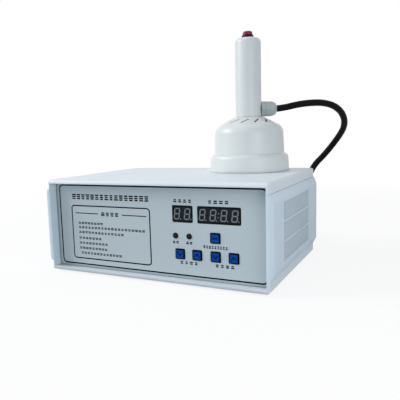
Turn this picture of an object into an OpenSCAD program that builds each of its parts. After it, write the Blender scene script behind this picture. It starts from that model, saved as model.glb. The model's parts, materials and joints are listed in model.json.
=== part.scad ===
// Hand-held induction cap sealer: a plastic instrument case with a control panel,
// a bell-shaped sealing head that rests on its lid, and the lead between them.
// Millimetres. The origin is the middle of the case on the plane of its feet,
// +X to the right of someone facing the panel, +Y to the rear, +Z up.

/* [Case] */
// Width of the case over its covers
case_w = 285; // [270:1:310]
// Depth of the case from lip to lip
case_d = 210; // [200:1:230]
// Height of the case without its feet
case_h = 115; // [112:1:125]
// Thickness of the top and bottom covers
cover_t = 3.5; // [3:0.1:4.5]
// Thickness of the side walls
wall_t = 3; // [2.4:0.1:3.6]
// Height of the rim at each side of a cover
rim_h = 12; // [10:0.5:14]
// Height of the lip at the front and rear of a cover
lip_h = 4.8; // [4:0.1:6]
// Swell of each side panel past the covers
bulge = 4.5; // [3:0.1:6]
// Height of the slope from a cover to the full swell
slope_h = 9; // [7:0.5:11]
// Rounding of the covers' long edges
edge_r = 4; // [2:0.1:5]
// Rounding of the covers' upright corners
corner_r = 4; // [2:0.1:6]
// Set-back of the front and rear panels
recess = 13; // [10:0.5:16]
// Thickness of the front and rear panels
panel_t = 2.5; // [2:0.1:3]
// Height of the rubber feet
foot_h = 2; // [1.5:0.1:4]
// Diameter of the rubber feet
foot_d = 16; // [12:0.5:18]

/* [Side vents] */
// Number of vent rows in each side panel
vent_rows = 3; // [2:1:3]
// Height of one vent row
vent_row_h = 19.8; // [15:0.1:20.5]
// Height of the rib between two vent rows
vent_rib_h = 2.2; // [1.5:0.1:2.6]
// Number of slots in a vent row
vent_slots = 26; // [12:1:27]
// Distance between two slots
vent_pitch = 4.5; // [3.5:0.1:4.8]
// Width of one slot
vent_slot_w = 2.2; // [1.2:0.1:2.6]
// Distance of the vents' middle from the middle of the case, towards the front
vent_shift = 6; // [0:0.5:12]

/* [Control panel] */
// Thickness of the printed film on the front panel
film_t = 0.4; // [0.2:0.05:0.6]
// Middle of the time display, right of the case's middle
time_display_x = 40; // [36:0.1:41]
// Middle of the count display, right of the case's middle
count_display_x = 83.6; // [82.5:0.1:88]
// Height of the displays above the case's underside
display_z = 77.7; // [74:0.1:80]
// Width of one digit's cell in a display
digit_w = 12.6; // [12:0.1:12.8]
// Height of a display
display_h = 19; // [18:0.1:20]
// Height of a digit
digit_h = 12.9; // [12.5:0.1:15]
// Lean of the digits in degrees
digit_lean = 8; // [0:1:10]
// Middle of the two lamps, right of the case's middle
lamps_x = 39.2; // [36:0.1:42]
// Distance between the two lamps
lamp_pitch = 17; // [14:0.1:20]
// Height of the lamps and the reset key above the case's underside
lamp_z = 52.6; // [50:0.1:54]
// Middle of the two time keys, right of the case's middle
time_keys_x = 46.5; // [45:0.1:48]
// Middle of the two power keys, right of the case's middle
power_keys_x = 89.7; // [88:0.1:91]
// Distance between the two keys of a pair
key_pitch = 21.1; // [19:0.1:22]
// Height of the four setting keys above the case's underside
key_z = 31.9; // [30:0.1:34]
// Width of a key cap
key_w = 10; // [8:0.1:10.4]
// Gap between a key cap and its window
key_gap = 0.6; // [0.4:0.05:0.8]
// Height of a key cap above the film
key_proud = 1.2; // [0.6:0.1:2]
// Travel of a key
key_travel = 0.3; // [0.2:0.05:0.5]

/* [Sealing head] */
// Middle of the head, right of the case's middle
head_x = 70; // [40:1:80]
// Middle of the head, behind the case's middle
head_y = 50; // [20:1:52]
// Radius of the head's foot
head_r = 51.5; // [50.5:0.1:54]
// Height of the thick foot ring
ring_h = 23; // [20:0.5:26]
// Taper of the foot ring's wall
ring_taper = 1.4; // [0:0.1:2]
// Radius of the bell where it leaves the foot ring
bell_r = 46.2; // [46:0.1:47]
// Radius of the bell's shoulder
shoulder_r = 44; // [43:0.1:45]
// Height of the bell's shoulder
shoulder_h = 56.8; // [54:0.1:58]
// Height of the bell's neck
neck_h = 69.8; // [68:0.1:73]
// Radius of the neck
neck_r = 19.2; // [18.6:0.1:20]
// Thickness of the bell's wall
bell_t = 2.5; // [2:0.1:3]
// Number of swirled vent slots round the bell
bell_slots = 12; // [6:1:12]
// Width of a vent slot in the bell
bell_slot_w = 2.4; // [1:0.1:2.5]
// Radius of the handle
handle_r = 16.6; // [16:0.1:17]
// Height of the handle's top above the lid
handle_h = 170; // [150:1:200]
// Wall of the handle
handle_t = 2.5; // [2:0.1:3]
// Height of the lead's gland above the bell's neck
gland_rise = 10.2; // [10:0.1:25]
// Travel of the trigger button
trigger_travel = 2.5; // [1:0.1:3]

/* [Rear] */
// Middle of the fan, right of the case's middle
fan_x = 70; // [60:1:75]
// Width of the fan's frame
fan_w = 80; // [76:1:82]
// Depth of the fan's frame
fan_depth = 25; // [22:1:26]
// Number of fan blades
fan_blades = 7; // [5:1:9]
// Middle of the mains inlet and its switch, left of the case's middle
inlet_x = 92; // [85:1:95]
// Height of the mains inlet above the case's underside
inlet_z = 34; // [30:1:38]
// Height of the power switch above the case's underside
switch_z = 82; // [76:1:88]

/* [Lead] */
// Diameter of the lead
lead_d = 8.5; // [7:0.1:8.8]
// Middle radius of the stored coil
coil_r = 47; // [44:1:50]
// Middle of the stored coil, right of the case's middle
coil_x = 40; // [36:1:44]
// Gap between the rear of the case and the coil
coil_gap = 8; // [7:1:14]
// Whole turns of the stored coil
coil_turns = 3; // [2:1:3]

/* [Hidden] */
$fn = 64;
play = 0.1;
clearance = 0.3;
overlap = 0.5;

// Planes and half sizes of the case
case_bottom = foot_h;
case_top = foot_h + case_h;
half_w = case_w / 2;
half_d = case_d / 2;
inner_x = half_w - wall_t;
outer_x = half_w + bulge;
floor_z = case_bottom + cover_t;
roof_z = case_top - cover_t;
seam_low = case_bottom + rim_h;
seam_high = case_top - rim_h;
lip_t = 3;
groove = 1.7;
film_face = -half_d + recess;
panel_front = film_face + film_t;
panel_back = panel_front + panel_t;
rear_face = half_d - recess;
rear_inner = rear_face - panel_t;
end_depth = recess + panel_t + 5;
side_corner_r = corner_r + 1;
swell_r = 8;
seam_r = 0.6;

// Screw columns that clamp the covers on the side panels
column_r = 5;
column_x = half_w - 16;
column_y = half_d - 28;
column_foot = floor_z + 12;
screw_r = 2;
screw_head_r = 3.8;
screw_head_h = 2.8;
screw_seat = case_bottom + 8;
screw_len = 20;
foot_gap = 3;
foot_x = column_x - screw_head_r - foot_d / 2 - foot_gap;
foot_y = column_y + foot_gap;

// Side vents
vent_h = vent_rows * vent_row_h + (vent_rows - 1) * vent_rib_h;
vent_lift = 1.5;
vent_bottom = case_bottom + vent_lift + (case_h - vent_h) / 2;

// Display board behind the front panel
display_depth = 8;
board_t = 1.6;
board_front = panel_front + display_depth;
board_back = board_front + board_t;
display_board_left = time_display_x - digit_w - 10.4;
display_board_right = column_x - column_r - overlap;
display_board_x = (display_board_left + display_board_right) / 2;
display_board_w = display_board_right - display_board_left;
display_board_z = case_bottom + case_h / 2;
display_board_h = 88;
spacer_r = 3;
spacer_inset = 5;
small_screw_r = 1.5;
small_head_r = 2.8;
small_head_h = 2;
display_gap = 0.25;
segment_w = 1.2;
segment_t = 0.5;
segment_gap = 0.3;
digit_span = 7.2;
dot_r = 0.7;
dot_gap = 1.4;
digit_shift = 0.6;
colon_rise = 2.2;

// Lamps and keys
lamp_r = 2.45;
holder_r = 2.95;
holder_flange_r = 3.4;
holder_flange_t = 0.8;
lamp_proud = 1.4;
key_hole = key_w + 2 * key_gap;
key_depth = 4.3;
key_back = film_face - key_proud + key_depth;
stem_r = 3.3;
stem_len = 2.5;
switch_w = 12;
switch_front = key_back + key_travel + clearance;
reset_x = power_keys_x - key_pitch / 2;
key_places = [
    [time_keys_x - key_pitch / 2, key_z],
    [time_keys_x + key_pitch / 2, key_z],
    [power_keys_x - key_pitch / 2, key_z],
    [power_keys_x + key_pitch / 2, key_z],
    [reset_x, lamp_z]
];

// Power board on the floor of the case, between the display board and the fan
post_h = 8;
post_r = 4;
post_inset = 6;
power_board_shift = 45;
power_front = board_back + 12;
power_rear = rear_face - panel_t - fan_depth - 10.5;
power_board_x = fan_x - power_board_shift;
power_board_y = (power_front + power_rear) / 2;
power_board_w = 170;
power_board_d = power_rear - power_front;
power_left = power_board_x - power_board_w / 2;
power_right = power_board_x + power_board_w / 2;
board_z = floor_z + post_h;
parts_z = board_z + board_t;
sink_w = 70;
sink_x = power_right - 2 * post_inset - sink_w / 2;
sink_h = 50;
sink_base_t = 5;
sink_depth = 44;
sink_y = power_rear - sink_depth - 2;
fin_t = 2;
fin_count = 9;
core_w = 56;
core_h = 48;
core_t = 21;
core_leg = 9.5;
transformer_x = power_board_x;
transformer_y = power_front + 30;
choke_r = 13.5;
choke_wire_w = 9;
choke_h = 16;
can_r = 15;
can_h = 40;
can_groove_z = 5;
can_pitch = 2 * can_r + 7;
left_row_x = power_left + choke_r + choke_wire_w;
choke_y = power_front + choke_r + choke_wire_w / 2 + 2;
can_y = choke_y + choke_r + choke_wire_w / 2 + can_r + 1;
capacitor_size = [12, 32, 24];
capacitor_pitch = 16;
transistor_size = [16, 5, 21];
transistor_pitch = 20;
rectifier_size = [28, 4.5, 20];
package_leg = 1.2;
package_leg_h = 8;

// Fan behind the rear panel, with its guard outside
fan_z = case_bottom + case_h / 2;
duct_r = fan_w / 2 - 2;
fan_flange_t = 4;
fan_screw_pitch = fan_w - 8.5;
fan_hub_r = 16;
fan_strut_t = 3.5;
guard_wire_r = 1;
guard_rod_r = 1.2;
guard_ring_step = 8;
guard_eye_r = 3.2;

// Mains inlet and power switch
inlet_body = [27.4, 20.4];
inlet_flange = [48, 24];
inlet_flange_t = 3;
inlet_body_depth = 22;
inlet_mouth = [24, 16.6];
inlet_slant = 4.3;
inlet_depth = 17;
inlet_pin = [2, 4];
pin_len = 12;
pin_tail = 30;
switch_body = [12.8, 19.4];
switch_bezel = [15, 21.4];
switch_bezel_t = 1.8;
switch_mouth = [10.6, 17.8];
switch_body_depth = 14;
switch_well = 8;
rocker_root = [9, 3.5];
rocker_tilt = 10;
rocker_half = 7.2;
rocker_crown = 3.2;
rocker_pivot = -1.5;
rocker_pin_r = 1.2;

// Sealing head: heights are above the lid
ring_round = 6;
shoulder_round = 13;
sleeve_floor = neck_h - 12;
sleeve_ledge = 2.2;
plate_gap = 1;
plate_t = 3;
plate_z = plate_gap + plate_t;
boss_r = 3.5;
boss_place_r = head_r - 7.5;
wire_r = 1.9;
wire_pitch = 3.4;
wire_turns = 8;
winding_r = 14;
former_z = plate_z + 2 * wire_r;
former_t = 2;
ferrite_h = 5;
ferrite_w = 8;
ferrite_count = 8;
slot_mid_r = 28;
slot_len = 12;
slot_skew = 45;
slot_start = -111;

// Trigger button in the top of the handle: heights are above the lid
handle_round = 6;
handle_roof = 3;
bush_r = 7.3;
collar_r = 8.3;
collar_h = 4;
button_r = 6.2;
button_h = 4.7;
button_skirt = 1.4;
button_stem_r = 3;
bush_floor_t = 3;
trigger_nut_hex = 18;
trigger_nut_t = 3;
well_h = button_skirt + trigger_travel + 0.4;
spring_r = 4.2;
spring_wire_r = 0.35;
spring_turns = 5;
spring_room_r = 5.4;
spring_room_h = 11;
bush_floor = handle_h + collar_h - well_h - spring_room_h;

// Glands: lengths are along the lead, from the face that the gland sits on
gland_hex = 19;
gland_flange_t = 5;
gland_thread_r = 7.6;
gland_thread_len = 12;
gland_neck = 5;
gland_nut_len = 15.4;
gland_dome = 6;
gland_len = gland_flange_t + gland_nut_len;
gland_h = neck_h + gland_rise;
gland_turn = 30;
gland_way = [cos(gland_turn), sin(gland_turn), 0];
gland_grip = lead_d / 2 + play;
locknut_t = 4;
gland_seat = handle_r - 1;
locknut_corner = gland_hex / sqrt(3);
handle_locknut = gland_seat - sqrt(pow(handle_r - handle_t, 2) - pow(locknut_corner, 2)) + play;

// Stored coil behind the case and the lead's route to it
tie_t = 0.9;
tie_w = 6;
coil_y = half_d + coil_gap + coil_r + lead_d / 2;
coil_start = 60;
coil_end = 180;
coil_sweep = coil_turns + (coil_end - coil_start) / 360;
coil_low = tie_t + clearance + lead_d / 2;
coil_high = coil_low + coil_sweep * lead_d;
rear_gland_x = coil_x - coil_r;
rear_gland_z = coil_high + 1;
head_exit = [head_x, head_y, case_top + gland_h] + (gland_seat + gland_len) * gland_way;
rear_exit = [rear_gland_x, rear_face + gland_len, rear_gland_z];
coil_middle = [coil_x, coil_y, 0];
lead_sides = 12;
lead_in_nut = gland_nut_len - gland_neck - clearance;
tail_step = 18;

// Steps of the route from the head's gland over the lid's rear corner
rise_steps = [
    -lead_in_nut * gland_way, [0, 0, 0], [12.2, 4.9, 1.4], [27.7, 8.3, 4.2], [41.8, 14.8, 5.5],
    [54.9, 24.8, 5.1], [65.8, 37.5, 1.4], [72.9, 51, -5.9], [75.6, 64.8, -16.1], [73.2, 77.4, -26.7],
    [66.9, 88.2, -36.3], [58.8, 96, -46.5], [49.8, 100.6, -57.4], [40.3, 102, -68.3], [30.7, 100.1, -79.1]
];
// Steps of the route from behind the lid down to the coil, from the coil's middle
fall_steps = [
    [84.5, -0.6, 103.7], [78.3, -0.7, 88.1], [72.9, 2.8, 72.5], [67.5, 8, 57.3], [62.5, 12.9, 41.9],
    [55.6, 19, 27.7], [46, 26.5, 16], [35.5, 33.7, 8.5]
];
rise_route = concat(
    [for (step = rise_steps) head_exit + step],
    [for (step = fall_steps) coil_middle + step],
    [coil_middle + [coil_r * cos(coil_start), coil_r * sin(coil_start), coil_low]]
);
tail_route = [
    [rear_gland_x, coil_y, coil_high],
    [rear_gland_x, coil_y - tail_step, coil_high + 0.2],
    [rear_gland_x, coil_y - 2 * tail_step, coil_high + 0.8],
    rear_exit,
    rear_exit - [0, lead_in_nut, 0]
];

// Shared shapes

function unit(v) = v / norm(v);

// Corner of a counterclockwise outline after its two edges move inwards
function inset_corner(before, corner, after, t1, t2) =
    let (e1 = unit(corner - before), e2 = unit(after - corner), turn = e1[0] * e2[1] - e1[1] * e2[0])
    corner + (t1 * e2 - t2 * e1) / turn;

// Where the rounding of a corner begins and ends
function tangent_points(before, corner, after, r) =
    let (e1 = unit(corner - before), e2 = unit(after - corner), back = r * tan(acos(e1 * e2) / 2))
    r == 0 ? [corner] : [corner - e1 * back, corner + e2 * back];

// Convex counterclockwise outline with a radius at each corner
module rounded_outline(points, radii) {
    last = len(points) - 1;
    function before(i) = points[i == 0 ? last : i - 1];
    function after(i) = points[i == last ? 0 : i + 1];
    polygon([
        for (i = [0:last])
            for (p = tangent_points(before(i), points[i], after(i), radii[i])) p
    ]);
    for (i = [0:last])
        if (radii[i] > 0)
            translate(inset_corner(before(i), points[i], after(i), radii[i], radii[i])) circle(radii[i]);
}

module rounded_box_outline(size, r) {
    x = size[0] / 2;
    y = size[1] / 2;
    rounded_outline([[-x, -y], [x, -y], [x, y], [-x, y]], [r, r, r, r]);
}

// Upright sheet whose rear face is at y, with its outline in x and z
module upright(y, t) {
    translate([0, y, 0]) rotate([90, 0, 0]) linear_extrude(t) children();
}

// Prism along the case's depth or along its width
module along_depth(length) {
    rotate([90, 0, 0]) linear_extrude(length, center = true) children();
}

module along_width(length) {
    rotate([90, 0, 90]) linear_extrude(length, center = true) children();
}

// Places for fittings: local z points out of the part that they sit on
module on_rear(x, z) {
    translate([x, rear_face, z]) rotate([-90, 0, 0]) children();
}

module on_head() {
    translate([head_x, head_y, case_top]) children();
}

module on_handle_side() {
    on_head() translate(gland_seat * gland_way + [0, 0, gland_h]) rotate([0, 90, gland_turn]) rotate(30)
        children();
}

module four_corners(x, y) {
    for (sx = [-1, 1], sy = [-1, 1]) translate([sx * x, sy * y, 0]) children();
}

module hex_bar(across_flats, h) {
    cylinder(h, r = across_flats / sqrt(3), $fn = 6);
}

module pan_screw(head_r, head_h, shank_r, length) {
    cylinder(head_h, r = head_r);
    translate([0, 0, -length]) cylinder(length + overlap, r = shank_r);
}

// Case

// One cover with its outer face at z = 0, open upwards
module cover_shell() {
    difference() {
        intersection() {
            along_depth(case_d) rounded_outline(
                [[-half_w, 0], [half_w, 0], [half_w, rim_h], [-half_w, rim_h]],
                [edge_r, edge_r, seam_r, seam_r]
            );
            along_width(case_w) rounded_outline(
                [[-half_d, 0], [half_d, 0], [half_d, rim_h], [-half_d, rim_h]], [edge_r, edge_r, 0, 0]
            );
            linear_extrude(rim_h) rounded_box_outline([case_w, case_d], corner_r);
        }
        translate([-inner_x, -half_d + lip_t, cover_t]) cube([2 * inner_x, case_d - 2 * lip_t, rim_h]);
        translate([-inner_x, -half_d - 1, lip_h]) cube([2 * inner_x, case_d + 2, rim_h]);
        for (side = [-1, 1])
            translate([0, side * (half_d - recess - panel_t / 2 - film_t / 2), cover_t - groove + rim_h / 2])
                cube([2 * (inner_x + groove), panel_t + film_t + 2 * play, rim_h], center = true);
    }
}

module top_cover() {
    color("#dfe8ee") difference() {
        union() {
            translate([0, 0, case_top]) mirror([0, 0, 1]) cover_shell();
            four_corners(column_x, column_y)
                translate([0, 0, column_foot]) cylinder(roof_z - column_foot + overlap, r = column_r);
        }
        four_corners(column_x, column_y)
            translate([0, 0, column_foot - 1]) cylinder(screw_len, r = screw_r + play / 2);
    }
}

module bottom_cover() {
    color("#d6e0e6") difference() {
        union() {
            translate([0, 0, case_bottom]) cover_shell();
            four_corners(column_x, column_y)
                translate([0, 0, floor_z - overlap])
                    cylinder(column_foot - floor_z + overlap, r = column_r + 1);
            power_board_corners()
                translate([0, 0, floor_z - overlap]) cylinder(post_h + overlap, r = post_r);
        }
        four_corners(column_x, column_y) {
            translate([0, 0, case_bottom - 1])
                cylinder(screw_seat - case_bottom + 1, r = screw_head_r + clearance);
            translate([0, 0, case_bottom]) cylinder(case_h, r = screw_r + clearance);
        }
        power_board_corners() translate([0, 0, floor_z]) cylinder(case_h, r = small_screw_r + play / 2);
    }
}

// Cross-section of the right side panel, run on past its inner face
module side_outline() {
    low = seam_low;
    high = seam_high;
    within = inner_x - 2 * swell_r;
    rounded_outline(
        [
            [within, low], [half_w, low], [outer_x, low + slope_h],
            [outer_x, high - slope_h], [half_w, high], [within, high]
        ],
        [0, seam_r, swell_r, swell_r, seam_r, 0]
    );
}

module side_vents() {
    first = -(vent_slots - 1) / 2;
    for (row = [0:vent_rows - 1], slot = [0:vent_slots - 1])
        translate([
            outer_x - wall_t - 1,
            (first + slot) * vent_pitch - vent_shift - vent_slot_w / 2,
            vent_bottom + row * (vent_row_h + vent_rib_h)
        ])
            cube([wall_t + 2, vent_slot_w, vent_row_h]);
}

// Right side panel: a swollen wall with thick ends that frame the front and rear
module side_panel() {
    pocket_h = seam_high - seam_low - 2 * slope_h;
    within = inner_x - 2 * swell_r;
    difference() {
        intersection() {
            along_depth(case_d) side_outline();
            linear_extrude(case_top) rounded_outline(
                [[within, -half_d], [outer_x, -half_d], [outer_x, half_d], [within, half_d]],
                [0, side_corner_r, side_corner_r, 0]
            );
        }
        translate([within - 1, -case_d / 2 - 1, 0]) cube([inner_x - within + 1, case_d + 2, case_top]);
        translate([inner_x - 1, -half_d + end_depth, seam_low + slope_h])
            cube([outer_x - wall_t - inner_x + 1, case_d - 2 * end_depth, pocket_h]);
        for (side = [-1, 1])
            translate([inner_x, side * (half_d - recess - panel_t / 2 - film_t / 2), case_top / 2])
                cube([2 * groove, panel_t + film_t + 2 * play, case_h], center = true);
        side_vents();
    }
}

module right_side_panel() {
    color("#c3d0d8") side_panel();
}

module left_side_panel() {
    color("#c3d0d8") mirror([1, 0, 0]) side_panel();
}

// Outline of the front and rear panels, seated in the lower grooves
module panel_outline() {
    bottom = floor_z - groove;
    top = roof_z + groove - clearance;
    width = 2 * (inner_x + groove - clearance);
    translate([-width / 2, bottom]) square([width, top - bottom]);
}

module front_windows() {
    translate([time_display_x, case_bottom + display_z])
        square([2 * digit_w, display_h] + 2 * display_gap * [1, 1], center = true);
    translate([count_display_x, case_bottom + display_z])
        square([4 * digit_w, display_h] + 2 * display_gap * [1, 1], center = true);
    lamp_places() circle(holder_r + play / 2);
    for (place = key_places)
        translate([place[0], case_bottom + place[1]]) square(key_hole, center = true);
}

module lamp_places() {
    for (side = [-1, 1]) translate([lamps_x + side * lamp_pitch / 2, case_bottom + lamp_z]) children();
}

module front_panel() {
    color("#a9b6bd") upright(panel_back, panel_t) difference() {
        panel_outline();
        front_windows();
    }
}

module panel_film() {
    color("#a5b4be") upright(panel_front, film_t) difference() {
        translate([0, case_bottom + case_h / 2])
            rounded_box_outline([2 * inner_x - 2, case_h - 2 * cover_t - 2], 2);
        front_windows();
    }
}

module rear_panel() {
    hole = fan_screw_pitch / 2;
    color("#a9b6bd") upright(rear_face, panel_t) difference() {
        panel_outline();
        translate([fan_x, fan_z]) {
            circle(duct_r);
            for (sx = [-1, 1], sz = [-1, 1]) translate([sx * hole, sz * hole]) circle(screw_r + clearance);
        }
        translate([-inlet_x, case_bottom + inlet_z]) square(inlet_body + 2 * play * [1, 1], center = true);
        translate([-inlet_x, case_bottom + switch_z]) square(switch_body + 2 * play * [1, 1], center = true);
        translate([rear_gland_x, rear_gland_z]) circle(gland_thread_r + play);
    }
}

module feet() {
    color("#2a2c2e") four_corners(foot_x, foot_y) cylinder(foot_h, r = foot_d / 2);
}

module case_screws() {
    color("#b8bcc0") four_corners(column_x, column_y)
        translate([0, 0, screw_seat]) mirror([0, 0, 1])
            pan_screw(screw_head_r, screw_head_h, screw_r, screw_len);
}

// Display board with its displays, lamps and keys

module display_board_corners() {
    x = display_board_w / 2 - spacer_inset;
    z = display_board_h / 2 - spacer_inset;
    for (sx = [-1, 1], sz = [-1, 1])
        translate([display_board_x + sx * x, 0, display_board_z + sz * z]) children();
}

module display_board() {
    color("#2f6b46") difference() {
        upright(board_back, board_t)
            translate([display_board_x, display_board_z])
                square([display_board_w, display_board_h], center = true);
        display_board_corners()
            translate([0, board_back + 1, 0]) rotate([90, 0, 0])
                cylinder(board_t + 2, r = small_screw_r + play);
    }
}

module board_spacers() {
    length = board_front - panel_back;
    color("#c9a94f") display_board_corners()
        translate([0, board_front, 0]) rotate([90, 0, 0]) difference() {
            cylinder(length, r = spacer_r);
            translate([0, 0, -1]) cylinder(length, r = small_screw_r + play / 2);
        }
}

module board_screws() {
    length = board_t + (board_front - panel_back) / 2;
    color("#b8bcc0") {
        display_board_corners()
            translate([0, board_back, 0]) rotate([-90, 0, 0])
                pan_screw(small_head_r, small_head_h, small_screw_r, length);
        power_board_corners()
            translate([0, 0, parts_z]) pan_screw(small_head_r, small_head_h, small_screw_r, length + 2);
    }
}

// Outline of one bar of a digit, lying or standing, leaning with the digit
function lean(p) = [p[0] + p[1] * tan(digit_lean), p[1]];
function bar(length, w) = [
    [-length / 2, 0], [-length / 2 + w / 2, -w / 2], [length / 2 - w / 2, -w / 2],
    [length / 2, 0], [length / 2 - w / 2, w / 2], [-length / 2 + w / 2, w / 2]
];
function bar_at(place, grow) =
    let (
        standing = place[2] == 1,
        reach = standing ? digit_h / 2 - segment_w / 2 : digit_span - segment_w,
        outline = bar(reach - segment_gap + grow, segment_w + grow)
    )
    [for (p = outline) lean([place[0], place[1]] + (standing ? [-p[1], p[0]] : p))];

// Middles of the seven bars, with 1 for a standing one
bar_x = digit_span / 2 - segment_w / 2;
bar_y = digit_h / 2 - segment_w / 2;
bar_places = [
    [0, bar_y, 0], [0, 0, 0], [0, -bar_y, 0],
    [-bar_x, bar_y / 2, 1], [bar_x, bar_y / 2, 1], [-bar_x, -bar_y / 2, 1], [bar_x, -bar_y / 2, 1]
];

module digits(count, grow) {
    for (i = [0:count - 1])
        translate([(i - (count - 1) / 2) * digit_w - digit_shift, 0]) {
            for (place = bar_places) polygon(bar_at(place, grow));
            translate(lean([digit_span / 2 + dot_gap, -bar_y])) circle(dot_r + grow / 2);
        }
}

// Two dots between the middle digits of the count display
module colon(grow) {
    for (side = [-1, 1])
        translate(lean([0, side * colon_rise]) - [digit_shift, 0]) circle(dot_r + grow / 2);
}

module display_block(x, count) {
    color("#16181a") difference() {
        upright(board_front, display_depth)
            translate([x, case_bottom + display_z]) square([count * digit_w, display_h], center = true);
        upright(panel_front + segment_t, segment_t + 1)
            translate([x, case_bottom + display_z]) {
                digits(count, play);
                if (count == 4) colon(play);
            }
    }
}

module time_display() {
    display_block(time_display_x, 2);
}

module count_display() {
    display_block(count_display_x, 4);
}

module display_segments() {
    color("#6f7a80") upright(panel_front + segment_t, segment_t) {
        translate([time_display_x, case_bottom + display_z]) digits(2, 0);
        translate([count_display_x, case_bottom + display_z]) {
            digits(4, 0);
            colon(0);
        }
    }
}

module on_lamps() {
    for (side = [-1, 1])
        translate([lamps_x + side * lamp_pitch / 2, board_front, case_bottom + lamp_z])
            rotate([90, 0, 0]) children();
}

module indicator_lamps() {
    length = board_front - film_face + lamp_proud - lamp_r;
    color("#3b1f22") on_lamps() {
        cylinder(length, r = lamp_r);
        translate([0, 0, length]) intersection() {
            sphere(lamp_r);
            cylinder(lamp_r, r = lamp_r);
        }
    }
}

module lamp_holders() {
    length = board_front - film_face;
    color("#1c1d1f") on_lamps() difference() {
        union() {
            cylinder(length, r = holder_r);
            translate([0, 0, length]) cylinder(holder_flange_t, r1 = holder_flange_r, r2 = holder_r);
        }
        translate([0, 0, -1]) cylinder(length + 3, r = lamp_r + play / 2);
    }
}

module key_switches() {
    depth = board_front - switch_front;
    color("#202224") for (place = key_places)
        difference() {
            upright(board_front, depth)
                translate([place[0], case_bottom + place[1]]) square(switch_w, center = true);
            translate([place[0], switch_front - 1, case_bottom + place[1]])
                rotate([-90, 0, 0])
                    cylinder(stem_len - key_travel + 1 + clearance, r = stem_r + clearance);
        }
}

// Square cap on a round stem that slides in its switch
module key(place) {
    color("#1846a8") {
        upright(key_back, key_depth)
            translate([place[0], case_bottom + place[1]]) rounded_box_outline([key_w, key_w], 1);
        translate([place[0], key_back - overlap, case_bottom + place[1]])
            rotate([-90, 0, 0]) cylinder(stem_len + overlap, r = stem_r);
    }
}

module time_down_key() {
    key(key_places[0]);
}

module time_up_key() {
    key(key_places[1]);
}

module power_down_key() {
    key(key_places[2]);
}

module power_up_key() {
    key(key_places[3]);
}

module reset_key() {
    key(key_places[4]);
}

// Power board and its parts

module power_board_corners() {
    translate([power_board_x, power_board_y, 0])
        four_corners(power_board_w / 2 - post_inset, power_board_d / 2 - post_inset) children();
}

module power_board() {
    color("#2f6b46") difference() {
        translate([power_board_x, power_board_y, board_z + board_t / 2])
            cube([power_board_w, power_board_d, board_t], center = true);
        power_board_corners() translate([0, 0, board_z - 1]) cylinder(board_t + 2, r = small_screw_r + play);
    }
}

module heat_sink() {
    fin_step = (sink_w - fin_t) / (fin_count - 1);
    color("#9ea4a8") translate([sink_x - sink_w / 2, sink_y, parts_z]) linear_extrude(sink_h) {
        square([sink_w, sink_base_t]);
        for (i = [0:fin_count - 1]) translate([i * fin_step, 0]) square([fin_t, sink_depth]);
    }
}

// Flat package on the heat sink's front face, with its legs on the board
module leaded_package(x, size, legs) {
    pitch = size[0] / legs;
    translate([x, sink_y - size[1], parts_z]) {
        translate([-size[0] / 2, 0, package_leg_h]) cube(size);
        for (i = [0:legs - 1])
            translate([(i - (legs - 1) / 2) * pitch - package_leg / 2, size[1] / 2, 0])
                cube([package_leg, package_leg, package_leg_h + overlap]);
    }
}

module power_transistors() {
    first = sink_x - sink_w / 2 + transistor_size[0] / 2 + 1;
    color("#26282b") for (i = [0, 1]) leaded_package(first + i * transistor_pitch, transistor_size, 3);
}

module bridge_rectifier() {
    color("#26282b") leaded_package(sink_x + sink_w / 2 - rectifier_size[0] / 2 - 2, rectifier_size, 4);
}

module filter_capacitors() {
    color("#2d3c63") for (i = [0, 1])
        translate([left_row_x, can_y + i * can_pitch, parts_z]) difference() {
            cylinder(can_h, r = can_r);
            rotate_extrude() translate([can_r, can_groove_z]) circle(1);
        }
}

module resonant_capacitors() {
    color("#b23a2e") for (i = [1:3])
        translate([power_right - i * capacitor_pitch, power_front + 2 * post_inset, parts_z])
            cube(capacitor_size);
}

module transformer_core() {
    window_w = core_w / 2 - 2 * core_leg;
    window_h = core_h - 2 * core_leg;
    color("#3a3b3d") translate([transformer_x, transformer_y, parts_z]) difference() {
        translate([-core_w / 2, -core_t / 2, 0]) cube([core_w, core_t, core_h]);
        for (side = [-1, 1])
            translate([side * (core_leg + window_w / 2) - window_w / 2, -core_t, core_leg])
                cube([window_w, 2 * core_t, window_h]);
    }
}

module transformer_winding() {
    build_up = core_w / 2 - 2 * core_leg - clearance;
    size = [2 * (core_leg + build_up), core_t + 2 * build_up];
    color("#a8642a") translate([transformer_x, transformer_y, parts_z + core_leg])
        linear_extrude(core_h - 2 * core_leg - clearance) difference() {
            rounded_box_outline(size, 3);
            square([2 * core_leg, core_t] + 2 * play * [1, 1], center = true);
        }
}

module mains_choke() {
    color("#a8642a") translate([left_row_x, choke_y, parts_z])
        rotate_extrude() translate([choke_r, choke_h / 2]) rounded_box_outline([choke_wire_w, choke_h], 3);
}

// Fan: local z runs from the rear panel's inner face into the case

module at_fan() {
    translate([fan_x, rear_inner, fan_z]) rotate([90, 0, 0]) children();
}

module fan_corners() {
    four_corners(fan_screw_pitch / 2, fan_screw_pitch / 2) children();
}

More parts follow.
